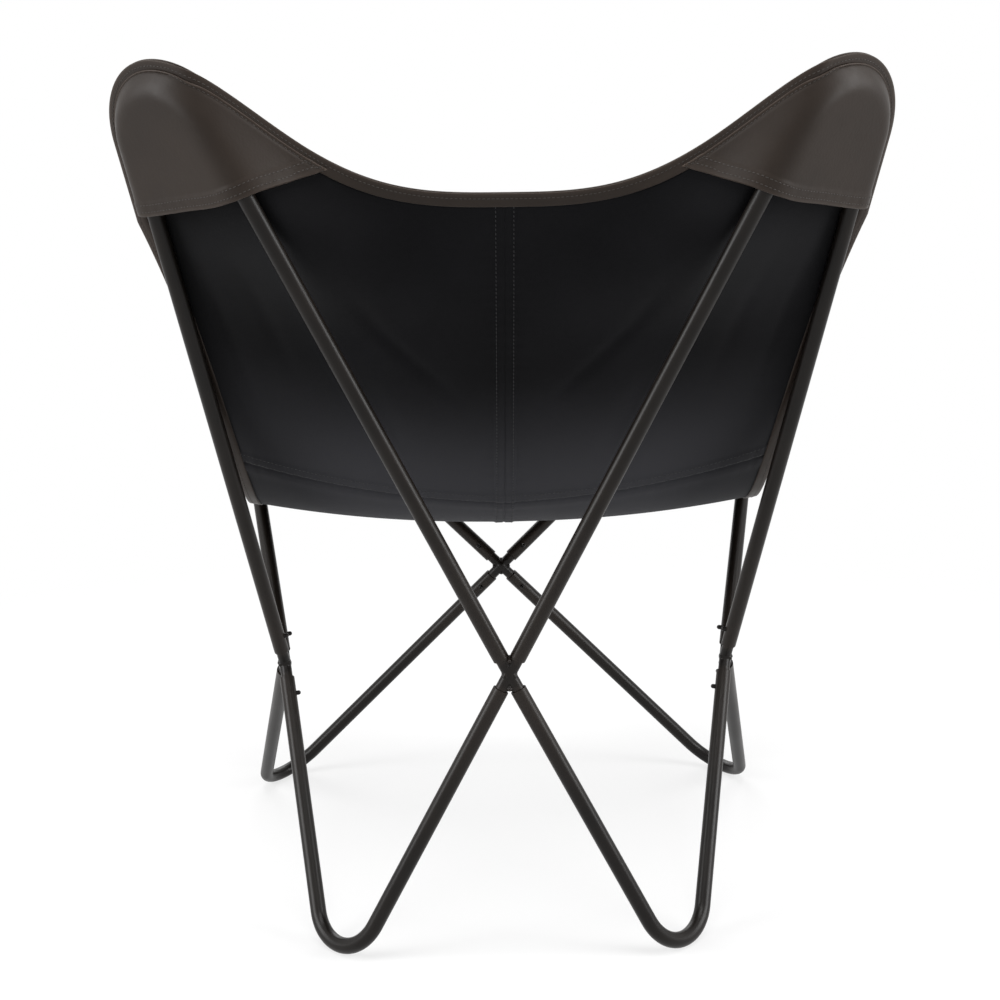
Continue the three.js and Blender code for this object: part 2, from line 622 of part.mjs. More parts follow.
const innerColumns = allColumns.slice(HALF_COLUMNS - STRIP_COLUMNS, HALF_COLUMNS + STRIP_COLUMNS + 1);
const leftLiningColumns = [CENTRE_HALF_U, ...leftColumns.slice(1)];
const leftStripColumns = leftColumns.slice(-SIDE_STRIP_COLUMNS);
const between = (rows, from, to) => rows.filter((v) => v > from && v < to);
const sideStripRows = between(edgingRows, V_BACK_POCKET, V_FRONT_POCKET - 0.015);
const onRight = (columns) => columns.map((u) => -u).reverse();

// A pocket's back: sewn to the sling along the corner's edges and open at its mouth.
const POCKET_SHAPES = {
  back: { carrier: backCarrier, innerU: 0.57, blunt: 0.012, depth: 0.213, bow: 2.1, end: 0 },
  front: { carrier: frontCarrier, innerU: 0.64, blunt: 0.012, depth: 0.115, bow: 1.7, end: 1 },
};

function pocketGeometry(row, side) {
  const shape = POCKET_SHAPES[row];
  const middle = (a, b) => {
    const depth = b * (shape.blunt + shape.depth * (1 - (1 - a) ** shape.bow));
    const { p, standOff } = slingPoint(mix(shape.innerU, 1, a), Math.abs(shape.end - depth));
    return p.addScaledVector(shape.carrier.normal, -standOff[row]);
  };
  const normal = (a, b) => surfaceNormal(middle, a, b, [0, 0.97], [0.05, 1]);
  const backwards = -Math.sign(normal(0.5, 0.5).dot(shape.carrier.normal));
  const near = SKIN_LOW - LAYER_GAP / 2 + POCKET_GAP;
  return sheetGeometry(steps(POCKET_COLUMNS).reverse(), steps(POCKET_ROWS), (a, b) => {
    const away = normal(a, b).multiplyScalar(backwards);
    const faces = [near, near + LEATHER].map((d) => middle(a, b).addScaledVector(away, d));
    return side === "left" ? faces : faces.map(mirrored);
  });
}

// Materials and assembly

const finish = (color, roughness, metalness) => () =>
  new THREE.MeshStandardMaterial({ color, roughness, metalness, side: THREE.FrontSide });
const paintedSteel = finish(0x2e2a28, 0.42, 0.3);
const brightSteel = finish(0x8c8d90, 0.35, 0.9);
const darkLeather = finish(0x3a3633, 0.55, 0);
const blackCanvas = finish(0x1c1c1f, 0.95, 0);

const chair = new THREE.Group();

function addPiece(name, geometry, material) {
  const mesh = new THREE.Mesh(geometry, material());
  mesh.name = name;
  chair.add(mesh);
  return mesh;
}

for (const tube of tubes) addPiece(`${tube.name}_tube`, toGeometry(tubeSolid(tube)), paintedSteel);

const hubs = { back: BACK_HUB, front: FRONT_HUB, left: LEFT_HUB, right: mirrored(LEFT_HUB) };
for (const [place, hub] of Object.entries(hubs)) {
  const ends = tubes.flatMap((tube) => tube.ends.filter((end, i) => tube.hubs[i] === place));
  addPiece(`${place}_cross`, toGeometry(crossSolid(hub, ends)), paintedSteel);
}

for (const end of tubes.flatMap((tube) => tube.ends)) {
  addPiece(`${end.name}_button`, buttonGeometry().applyMatrix4(end.place), brightSteel);
  addPiece(`${end.name}_spring`, springGeometry().applyMatrix4(end.place), brightSteel);
}

const topRows = backRows.slice(0, STRIP_ROWS);
const frontRows = seatRows.slice(-STRIP_ROWS);
const slingLayers = [
  ["sling_face_back", allColumns, backRows, FACE, darkLeather],
  ["sling_face_seat", allColumns, seatRows, FACE, darkLeather],
  ["sling_lining_back_left", leftLiningColumns, backRows, LINING, blackCanvas],
  ["sling_lining_back_right", onRight(leftLiningColumns), backRows, LINING, blackCanvas],
  ["sling_lining_seat", allColumns, seatRows, LINING, blackCanvas],
  ["sling_edging_top", innerColumns, topRows, EDGE_STRIP, darkLeather],
  ["sling_edging_front", innerColumns, frontRows, EDGE_STRIP, darkLeather],
  ["sling_edging_left", leftStripColumns, sideStripRows, EDGE_STRIP, darkLeather],
  ["sling_edging_right", onRight(leftStripColumns), sideStripRows, EDGE_STRIP, darkLeather],
];
for (const [name, columns, rows, layer, material] of slingLayers) {
  addPiece(name, layerGeometry(columns, rows, ...layer), material);
}
for (const row of ["back", "front"]) {
  for (const side of ["left", "right"]) {
    addPiece(`${row}_${side}_pocket`, pocketGeometry(row, side), darkLeather);
  }
}

// The origin is under the middle of the whole chair.
const box = new THREE.Box3().setFromObject(chair);
chair.position.y = -(box.min.y + box.max.y) / 2;

export default chair;
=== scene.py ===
import math
from types import SimpleNamespace

import bmesh
import bpy
import numpy as np
from mathutils import Matrix, Vector
from mathutils.kdtree import KDTree


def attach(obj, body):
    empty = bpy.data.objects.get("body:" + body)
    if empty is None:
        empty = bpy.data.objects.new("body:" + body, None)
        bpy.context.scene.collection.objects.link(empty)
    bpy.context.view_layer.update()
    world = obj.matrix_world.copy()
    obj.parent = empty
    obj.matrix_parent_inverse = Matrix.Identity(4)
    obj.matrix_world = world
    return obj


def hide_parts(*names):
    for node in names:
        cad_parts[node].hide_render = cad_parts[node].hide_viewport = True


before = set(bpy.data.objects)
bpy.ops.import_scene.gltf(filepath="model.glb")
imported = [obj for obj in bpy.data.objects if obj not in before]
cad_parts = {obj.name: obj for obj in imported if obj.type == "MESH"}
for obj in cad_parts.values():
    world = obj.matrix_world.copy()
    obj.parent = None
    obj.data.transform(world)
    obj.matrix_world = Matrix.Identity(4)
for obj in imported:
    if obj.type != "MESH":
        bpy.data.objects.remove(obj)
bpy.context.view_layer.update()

# A knock-down sling chair seen from behind. Shapes are worked out in millimetres, in the frame whose
# middle lies between the back and front crosses, and turned to metres when a mesh is made.

MM = 0.001
CHAIR_SHIFT = np.array([0.0, 19.9823, 0.0])

# Frame
TUBE_RADIUS = 8.0
TUBE_WALL = 1.5
RIM_BEVEL = 0.35
RIM_LENGTH = 0.8
TUBE_END_FROM_HUB = 17.5
SPIGOT_RADIUS = 6.2
SPIGOT_BORE_RADIUS = 5.0
SPIGOT_LENGTH = 62.0
SPIGOT_BORE_FLOOR = 31.0
BORE_OVERCUT = 2.0
WELD_BALL_RADIUS = 7.4
WELD_ROUND = 3.2
WELD_SINK = 1.6
WELD_BEAD_RADIUS = 2.1
WELD_BEAD_PITCH = 1.7
WELD_BEADS = 3
WELD_CROWN = 0.35
WELD_RIPPLE = 0.25
WELD_SKIN = 0.8
WIDEST_WELD = math.radians(75)
WELD_SHRINK = 0.15
TUBE_SIDES, SPIGOT_SIDES, BORE_SIDES, HOLE_SIDES = 36, 40, 28, 20
SOFT_ANGLE = 40
BACK_HUB = np.array([0.0, 240.0, 291.0])
FRONT_HUB = np.array([0.0, -240.0, 289.0])
LEFT_HUB = np.array([243.5, 20.0, 241.0])
BACK_TIP = np.array([303.0, 284.0, 834.0])
FRONT_TIP = np.array([302.0, -320.0, 540.0])
REAR_FOOT = np.array([175.0, 222.0, 7.2])
FRONT_FOOT = np.array([293.0, -268.0, 7.2])
BACK_BEND_RADIUS = 52.0
FRONT_BEND_RADIUS = 48.0
FOOT_BEND_RADIUS = 47.0
APEX_ROUNDS = 200
APEX_STEP = 0.7
BEND_STEPS = 28

# Rubbed paint: strength and reach
RUB_AT_END = (0.5, 2.5)
RUB_AT_BUTTON = (0.6, 1.0)
RUB_ON_FLOOR = (1.0, 1.5)
CROSS_RUB = 0.35
CROSS_RUB_FROM_HUB = (13.0, 17.0)

# Spring buttons
BUTTON_FROM_HUB = 37.0
BUTTON_RADIUS = 2.5
BUTTON_HOLE_RADIUS = 2.75
BUTTON_TIP = 12.6
FLANGE_RADIUS = 3.0
FLANGE_TOP = 3.56
FLANGE_THICKNESS = 0.5
BUTTON_EDGE = 0.1
BUTTON_TIP_STEPS = 7
BUTTON_SIDES = 24
BUTTON_SOFT_ANGLE = 50

# Sling layers, measured from its middle surface towards the sitter
FACE_LAYER = (0.15, 1.75)
LINING_LAYER = (-1.05, -0.15)
EDGING_LAYER = (-2.5, -1.15)
EDGE_ROUND = 0.35
# A pocket's layer, measured outwards from the pocket's own surface
POCKET_LAYER = (2.6, 4.2)
# The sling's height over a loop's plane, at its edge and on top of the tube
SKIN_LOW = 1.2
SKIN_HIGH = 10.1

# Sling shape: u runs across it from -1 to 1, v along it from the top to the front edge
SLING_LENGTH = 780.0
OUTLINE_POINTS = 1600
POCKET_MARGIN = 27.0
BACK_POCKET_LENGTH = 78.0
FRONT_POCKET_LENGTH = 60.0
FRONT_CORNER_TURN = math.radians(50)
V_BACK_POCKET = 0.24
V_SEAM = 0.52
SEAM_SAG = 0.013
SEAM_LIFT = 0.047
SEAM_SWEEP = 1.35
SEAM_REACH = 0.13
V_SEAT_REAR = 0.62
V_SEAT_LOW = 0.76
V_FRONT_POCKET = 0.86
SIDE_LOW = np.array([277.0, -10.0, 419.0])
LOW_WAY = np.array([0.04, -1.0, -0.03])
LOW_PULL = 0.8
SIDE_TUCK = 0.2
SIDE_LEAVE = 0.68
SIDE_EASE = 2.97
MIDDLE_STOPS = np.array([0.0, V_BACK_POCKET, V_SEAM, V_SEAT_REAR, V_SEAT_LOW, 1.0])
MIDDLE_POINTS = np.array(
    [[248.0, 744.5], [204.0, 638.0], [92.0, 439.0], [10.0, 396.0], [-125.0, 394.0], [-300.0, 452.0]]
)
WING_POWER = 1.6
SEAT_POWER = 2.2
WING_TO_SEAT = (0.0, 0.45)
SEAT_TO_FRONT = (0.72, 1.0)
FRONT_SWEEP = 0.6

# Soft folds in the sling's back, as places across and along it
FOLD_STOPS = np.array([0.1, 0.167, 0.227, 0.279, 0.318, 0.351, 0.377, 0.4, 0.45])
FOLD_LINE = np.array([0.555, 0.492, 0.437, 0.375, 0.292, 0.207, 0.13, 0.04, -0.25])
FOLD_HOLLOW = (3.0, 0.035)
HOLLOW_ALONG = (0.1, 0.22, 0.36, 0.44)
HOLLOW_ACROSS = (0.08, 0.3)
FOLD_BELLY = 5.0
BELLY_ALONG = (0.18, 0.34, 0.4, 0.52)
BELLY_SOFTNESS = 0.25
# Depth, place across, lean, top, bottom and width of each crease near the sling's side
OUTER_CREASES = (
    (2.6, 0.89, 0.05, 0.21, 0.43, 0.028),
    (1.8, 0.76, 0.1, 0.2, 0.4, 0.03),
    (1.2, 0.5, 0.2, 0.3, 0.5, 0.04),
)

# How the loops hold the sling's corners
BACK_LOOP_FADE = (0.2, 0.5)
FRONT_LOOP_FADE = (0.62, 0.9)
HOLD_FADE_START = 0.9
HOLD_FADE_DOWN = 130.0
HOLD_FADE_ACROSS = 190.0
INNER_TURN = 0.7
INNER_TURN_FROM = 10.0
INNER_TURN_SOFT = 8.0

# Sewing
EDGING_WIDTH = 12.5
LINING_INSET = 9.0
POCKET_INSET = 8.0
POCKET_SEAM = 10.5
POCKET_RISE = 11.0
RISE_BEFORE_INNER_LEG = 26.0
NEAR_INNER_LEG = 0.7
POCKET_EASE = 2.5
TAUT_ROUNDS = 1500
EASING_ROUNDS = 10
HEM_WIDTH = 13.0
HEM_ROWS = (4.0, 10.5)
EDGING_ROWS = (4.5,)
CENTRE_SEAM_HALF = 10.0
CENTRE_SEAM_ROW = 8.3
CROSS_SEAM_WIDTH = 13.0
CROSS_SEAM_ROWS = (-10.5, -2.2)
FACE_SEAM_ROWS = (-3.5, 3.5)
# The relief of the seams: height and half width
FACE_GROOVE = (1.1, 1.6)
FACE_SWELL = (0.7, 5.0)
FACE_SWELL_FROM_SEAM = 6.0
CENTRE_BAND = 0.9
CENTRE_SLIT = (0.8, 0.9)
CROSS_LAP = 0.6
CROSS_CREASE = (0.9, 1.4)
CROSS_DIP = (0.4, 1.5)
CROSS_SWELL = (1.0, 7.0)
CROSS_SWELL_FROM_SEAM = 8.0
POCKET_GROOVE = (0.7, 1.3)
HEM_TURN = 0.7
EDGING_THINNING = 0.35
THINNEST_CANVAS = 0.3
# Rubbed leather: strength and reach
RUB_AT_EDGE = (0.35, 2.0)
RUB_AT_SEAM = (0.6, 0.8)
RUB_AT_MOUTH = (0.35, 1.5)
EDGING_RUB = 0.1
# Where light is painted on the canvas: paler over the belly above the cross seam, where it is lit more
PAINTED_LIGHT_ABOVE_SEAM = (-170.0, -15.0)
PAINTED_LIGHT_BELOW_SEAM = (60.0, 160.0)
PAINTED_LIGHT_ACROSS = (0.45, 0.95)
# Stitches
STITCH_LENGTH = 3.0
STITCH_PITCH = 4.2
THREAD_DIAMETER = 0.8
PUCKER_PITCH = 13.0
FACE_PUCKER = (0.25, 9.0)
CROSS_PUCKER = (0.3, 14.0)
CENTRE_PUCKER = (0.2, 10.0)
HEM_PUCKER = (0.08, 9.0)
HEM_PUCKER_FROM_MOUTH = 7.0
INNER_EDGE = 0.56

# The floor, the camera of the photograph and the softboxes, in metres
FLOOR_HALF = 6.0
CAMERA_PLACE = (0.02703, 1.6959, 0.72336)
CAMERA_YAW, CAMERA_PITCH, CAMERA_ROLL = 0.0138, 0.1807, -0.0112
SENSOR_WIDTH = 36.0
FOCAL_LENGTH = 1.55 * SENSOR_WIDTH
# Each softbox's place, the height it is turned to, its width and height, and its watts
SOFTBOXES = {
    "overhead softbox": ((0.0, 0.5, 2.6), 0.4, (1.5, 1.5), 50),
    "left softbox": ((2.15, 0.85, 1.2), 0.45, (1.0, 1.7), 46),
    "right softbox": ((-2.15, 0.8, 1.2), 0.45, (1.0, 1.7), 46),
    "front softbox": ((0.4, -2.4, 1.9), 0.4, (1.6, 1.6), 32),
}


def unit(a):
    return a / np.linalg.norm(a, axis=-1, keepdims=True)


def dot(a, b):
    return np.sum(a * b, axis=-1)


def mix(a, b, t):
    return a + (b - a) * t


def smooth(low, high, x):
    t = np.clip((x - low) / (high - low), 0.0, 1.0)
    return t * t * (3.0 - 2.0 * t)


def window(stops, x):
    """Rises to 1 between the first two stops and falls back to 0 between the last two."""
    return smooth(stops[0], stops[1], x) * (1 - smooth(stops[2], stops[3], x))


def ridge(relief, distance):
    """A soft ridge of a height and a half width."""
    height, half_width = relief
    return height * np.exp(-((distance / half_width) ** 2))


def worn(wear_and_painted_light, distance):
    """Wear of a strength that fades with the distance from a place, over a reach."""
    strength, reach = wear_and_painted_light
    return strength * np.exp(-np.maximum(distance, 0) / reach)


def run_along(points):
    """Distance from the first point of a line, at each of its points."""
    return np.concatenate([[0], np.cumsum(np.linalg.norm(np.diff(points, axis=0), axis=1))])


def mirrored(points):
    return points * np.array([-1.0, 1.0, 1.0])


def in_metres(points):
    return (np.asarray(points) + CHAIR_SHIFT) * MM


# Bent tubes


class Bend:
    """A corner between two hubs, rounded with a bend radius."""

    def __init__(self, apex, start_hub, end_hub, radius):
        self.radius = radius
        self.start_hub, self.end_hub = start_hub, end_hub
        self.first = unit(start_hub - apex)
        self.second = unit(end_hub - apex)
        self.half = math.acos(dot(self.first, self.second)) / 2
        self.inward = unit(self.first + self.second)
        self.centre = apex + self.inward * radius / math.sin(self.half)
        self.reach = radius / math.tan(self.half)
        self.apex = apex

    def steepest_way(self, up_down):
        across = unit(self.first - self.second)
        return unit(up_down * (self.inward * self.inward[2] + across * across[2]))

    def centre_line(self):
        start = self.start_hub - self.first * TUBE_END_FROM_HUB
        finish = self.end_hub - self.second * TUBE_END_FROM_HUB
        out = unit(self.apex + self.first * self.reach - self.centre)
        turn = np.linspace(0, math.pi - 2 * self.half, BEND_STEPS + 1)[:, None]
        round_bend = self.centre + self.radius * (np.cos(turn) * out - np.sin(turn) * self.first)
        lead_in = [start, start - self.first * RIM_LENGTH, mix(start, round_bend[0], 0.5)]
        lead_out = [mix(finish, round_bend[-1], 0.5), finish - self.second * RIM_LENGTH, finish]
        return np.vstack([lead_in, round_bend, lead_out])


def bend_for_tip(tip, start_hub, end_hub, radius, up_down):
    """The bend whose highest or lowest point is the given tip, found by moving its apex step by step."""
    apex = tip + np.array([0, 0, up_down * radius])
    for _ in range(APEX_ROUNDS):
        bend = Bend(apex, start_hub, end_hub, radius)
        reached = bend.centre + bend.steepest_way(up_down) * radius
        apex = apex + APEX_STEP * (tip - reached)
    return Bend(apex, start_hub, end_hub, radius)


TUBE_KINDS = [
    ("loop", "back", BACK_HUB, BACK_TIP, BACK_BEND_RADIUS, 1),
    ("loop", "front", FRONT_HUB, FRONT_TIP, FRONT_BEND_RADIUS, 1),
    ("foot", "back", BACK_HUB, REAR_FOOT, FOOT_BEND_RADIUS, -1),
    ("foot", "front", FRONT_HUB, FRONT_FOOT, FOOT_BEND_RADIUS, -1),
]


def tube_end(name, hub_name, hub, apex, inside):
    """One end of a tube on its spigot: the arm's way out of the hub and the button's way out of the tube."""
    arm = unit(apex - hub)
    facing = unit(inside - arm * dot(inside, arm))
    seat = hub + arm * BUTTON_FROM_HUB
    return SimpleNamespace(name=name, hub_name=hub_name, hub=hub, arm=arm, facing=facing, seat=seat)


tubes = []
left_bends = {}
for kind, row, hub, tip, radius, up_down in TUBE_KINDS:
    left_bend = bend_for_tip(tip, hub, LEFT_HUB, radius, up_down)
    left_bends[f"{row}_{kind}"] = left_bend
    for side, sign in (("left", 1.0), ("right", -1.0)):
        turned = np.array([sign, 1.0, 1.0])
        apex, side_hub = left_bend.apex * turned, LEFT_HUB * turned
        middle_inside = np.array([0.0, -1.0 if row == "back" else 1.0, 0.0])
        side_inside = np.array([-sign, 0.0, 0.0])
        name = f"{row}_{side}_{kind}"
        ends = [
            tube_end(f"{name}_{row}", row, hub, apex, middle_inside),
            tube_end(f"{name}_{side}", side, side_hub, apex, side_inside),
        ]
        bend = Bend(apex, hub, side_hub, radius)
        tubes.append(SimpleNamespace(name=name, bend=bend, ends=ends, on_floor=up_down < 0))


# The sling's middle surface


def loop_carrier(bend, ease, pocket_length, corner_turn, turns):
    """How a loop carries a corner of the sling: its plane, and the pocket's edge round its bend.

    Where turns is 1, the sling turns out of that plane past the loop's inner leg.
    """
    normal = unit(np.cross(bend.first, bend.second))
    normal = normal * np.sign(normal[2])
    from_centre = -bend.inward * bend.radius / math.sin(bend.half)
    inner_side = unit(bend.first * bend.reach + from_centre)
    outer_side = unit(bend.second * bend.reach + from_centre)
    top = bend.steepest_way(1)
    round_way = unit(outer_side - dot(outer_side, top) * top)
    cos, sin = math.cos(corner_turn), math.sin(corner_turn)
    return SimpleNamespace(
        bend=bend,
        normal=normal,
        inner_side=inner_side,
        outer_side=outer_side,
        start=top * cos - round_way * sin,
        quarter=top * sin + round_way * cos,
        turn=math.acos(dot(top, outer_side)) + corner_turn,
        lean=ease / dot(ease, normal),
        pocket_length=pocket_length,
        turns=turns,
    )


back_carrier = loop_carrier(left_bends["back_loop"], np.array([0, 1.0, 0]), BACK_POCKET_LENGTH, 0.0, 1.0)
front_carrier = loop_carrier(
    left_bends["front_loop"], np.array([0, 0, 1.0]), FRONT_POCKET_LENGTH, FRONT_CORNER_TURN, 0.0
)


def pocket_edge(carrier, share):
    reach = carrier.bend.radius + POCKET_MARGIN
    arc = carrier.turn * reach
    run = np.atleast_1d(share) * (arc + carrier.pocket_length)
    angle = (np.minimum(run, arc) / reach)[:, None]
    round_bend = reach * (np.cos(angle) * carrier.start + np.sin(angle) * carrier.quarter)
    down_leg = np.maximum(run - arc, 0)[:, None] * carrier.bend.second
    return carrier.bend.centre + round_bend + down_leg + carrier.normal * SKIN_LOW


def hermite(start, start_way, end, end_way, t):
    t = np.atleast_1d(t)[:, None]
    return (
        start * (2 * t**3 - 3 * t**2 + 1)
        + start_way * (t**3 - 2 * t**2 + t)
        + end * (3 * t**2 - 2 * t**3)
        + end_way * (t**3 - t**2)
    )


def side_edge(v):
    points = np.empty((len(v), 3))
    on_back = v <= V_BACK_POCKET
    on_front = v >= V_FRONT_POCKET
    falling = ~on_back & (v <= V_SEAT_REAR)
    rising = ~on_front & (v > V_SEAT_REAR)
    points[on_back] = pocket_edge(back_carrier, v[on_back] / V_BACK_POCKET)
    points[on_front] = pocket_edge(front_carrier, (1 - v[on_front]) / (1 - V_FRONT_POCKET))
    start = pocket_edge(back_carrier, 1.0)[0]
    normal = back_carrier.normal
    in_front = dot(SIDE_LOW - start, normal)
    down_leg = unit(back_carrier.bend.second - SIDE_TUCK * back_carrier.outer_side)
    away = down_leg * np.linalg.norm(SIDE_LOW - start) + normal * SIDE_LEAVE * in_front
    arrive = LOW_WAY * SIDE_EASE * in_front / dot(LOW_WAY, normal)
    share = (v[falling] - V_BACK_POCKET) / (V_SEAT_REAR - V_BACK_POCKET)
    points[falling] = hermite(start, away, SIDE_LOW, arrive, share)
    end = pocket_edge(front_carrier, 1.0)[0]
    span = np.linalg.norm(SIDE_LOW - end)
    share = (v[rising] - V_SEAT_REAR) / (V_FRONT_POCKET - V_SEAT_REAR)
    points[rising] = hermite(
        SIDE_LOW, LOW_WAY * LOW_PULL * span, end, -front_carrier.bend.second * span, share
    )
    return points


def curve_through(stops, values, at):
    """A smooth curve through values given at rising stops."""
    last = len(stops) - 1
    before = np.maximum(np.arange(last + 1) - 1, 0)
    after = np.minimum(np.arange(last + 1) + 1, last)
    slopes = (values[after] - values[before]) / (stops[after] - stops[before])[:, None]
    upper = np.clip(np.searchsorted(stops, at), 1, last)
    lower = upper - 1
    span = (stops[upper] - stops[lower])[:, None]
    share = (at - stops[lower]) / span[:, 0]
    return hermite(values[lower], slopes[lower] * span, values[upper], slopes[upper] * span, share)


def middle_line(v):
    return curve_through(MIDDLE_STOPS, MIDDLE_POINTS, v)


def fold_depth(u, v):
    """Soft folds: a hollow from each back corner to the middle, a belly below it, and creases outside."""
    line = curve_through(FOLD_STOPS, FOLD_LINE[:, None], np.clip(v, FOLD_STOPS[0], FOLD_STOPS[-1]))[:, 0]
    past_line = u - line
    depth = ridge(FOLD_HOLLOW, past_line) * window(HOLLOW_ALONG, v) * smooth(*HOLLOW_ACROSS, u)
    depth -= FOLD_BELLY * window(BELLY_ALONG, v) * smooth(-BELLY_SOFTNESS, BELLY_SOFTNESS, past_line)
    for crease_depth, top_u, lean, top_v, low_v, width in OUTER_CREASES:
        share = np.clip((v - top_v) / (low_v - top_v), 0, 1)
        depth += np.sin(np.pi * share) ** 2 * ridge((crease_depth, width), u - top_u + lean * share)
    return depth


def hanging(u, v):
    edge = side_edge(v)
    middle = middle_line(v)
    winged = (1 - np.cos(np.pi * u**WING_POWER)) / 2
    front_rise = mix(u**2, u**3, FRONT_SWEEP)
    back_rise = mix(winged, u**SEAT_POWER, smooth(*WING_TO_SEAT, v))
    rise = mix(back_rise, front_rise, smooth(*SEAT_TO_FRONT, v))
    y = mix(middle[:, 0], edge[:, 1], rise) - fold_depth(u, v)
    return np.stack([edge[:, 0] * u, y, mix(middle[:, 1], edge[:, 2], rise)], axis=1)


def near_finder(points):
    finder = KDTree(len(points))
    for i, p in enumerate(points):
        finder.insert(p, i)
    finder.balance()
    return finder


def nearest(finder, points):
    """For each point, the place of the nearest known point and the distance to it."""
    found = [finder.find(p) for p in points]
    return np.array([f[1] for f in found]), np.array([f[2] for f in found])


def loop_hold(carrier, p):
    """How firmly a loop holds the sling, and where a point lies beside its tube, seen in the loop's plane."""
    bend = carrier.bend
    q = p - bend.centre
    q = q - carrier.lean * dot(q, carrier.normal)[:, None]
    length = np.linalg.norm(q, axis=1)
    beyond_inner = dot(q, carrier.inner_side) - bend.radius
    below = dot(q, bend.inward)
    round_bend = -below > length * math.sin(bend.half)
    straight = np.maximum(dot(q, carrier.outer_side), dot(q, carrier.inner_side))
    past_tube = np.where(round_bend, length, straight) - bend.radius
    near_inner_leg = smooth(-NEAR_INNER_LEG * bend.radius, 0, beyond_inner)
    pocket = carrier.pocket_length
    down_leg = 1 - smooth(HOLD_FADE_START * pocket, pocket + HOLD_FADE_DOWN, below)
    hold = down_leg * (1 - smooth(TUBE_RADIUS, HOLD_FADE_ACROSS, beyond_inner))
    past_turn = beyond_inner - INNER_TURN_FROM
    turned = INNER_TURN * (past_turn + np.sqrt(past_turn**2 + INNER_TURN_SOFT**2)) / 2
    return hold, past_tube, near_inner_leg, turned


def laid_on_loops(u, v):
    """The hanging sling moved onto the planes of the loops that carry it."""
    hung = hanging(u, v)
    laid = hung.copy()
    held = {}
    for row, carrier, near in (
        ("back", back_carrier, 1 - smooth(*BACK_LOOP_FADE, v)),
        ("front", front_carrier, smooth(*FRONT_LOOP_FADE, v)),
    ):
        hold, past_tube, near_inner_leg, turned = loop_hold(carrier, hung)
        above = dot(hung - carrier.bend.centre, carrier.normal)
        laid += carrier.lean * (near * hold * (SKIN_LOW + carrier.turns * turned - above))[:, None]
        held[row] = near * hold, past_tube, near_inner_leg
    return laid, held


edge_shares = np.linspace(0, 1, OUTLINE_POINTS)
edge_ends = np.zeros_like(edge_shares), np.ones_like(edge_shares)
sling_outline = near_finder(
    np.vstack([
        laid_on_loops(edge_ends[1], edge_shares)[0],
        laid_on_loops(edge_shares, edge_ends[0])[0],
        laid_on_loops(edge_shares, edge_ends[1])[0],
    ])
)


def sling_points(u, v):
    """Points of the sling's middle surface, their distance from its edge, and how far a pocket stands off."""
    laid, held = laid_on_loops(np.abs(u), v)
    _, from_edge = nearest(sling_outline, laid)
    inside = np.maximum(from_edge - POCKET_RISE, 0) + 1e-6
    p = laid.copy()
    stand_off = {}
    for row, carrier in (("back", back_carrier), ("front", front_carrier)):
        hold, past_tube, near_inner_leg = held[row]
        early = near_inner_leg * np.minimum(RISE_BEFORE_INNER_LEG, 0.5 * inside)
        beyond = np.maximum(past_tube + early, 0)
        rise = (SKIN_HIGH - SKIN_LOW) * np.sin(inside / (inside + beyond) * np.pi / 2)
        p += carrier.normal * (hold * rise)[:, None]
        stand_off[row] = 2 * rise
    p[u < 0] = mirrored(p[u < 0])
    return p, from_edge, stand_off


# Cloth as triangles with values at each point


def grid_triangles(row_count, column_count):
    at = np.arange(row_count * column_count).reshape(row_count, column_count)
    a, b, c, d = at[:-1, :-1], at[:-1, 1:], at[1:, 1:], at[1:, :-1]
    first = np.stack([a, c, b], axis=-1).reshape(-1, 3)
    second = np.stack([a, d, c], axis=-1).reshape(-1, 3)
    return np.vstack([first, second])


def point_normals(points, triangles):
    corners = points[triangles]
    facing = np.cross(corners[:, 1] - corners[:, 0], corners[:, 2] - corners[:, 0])
    normals = np.zeros_like(points)
    for k in range(3):
        np.add.at(normals, triangles[:, k], facing)
    return normals / np.maximum(np.linalg.norm(normals, axis=1, keepdims=True), 1e-12)


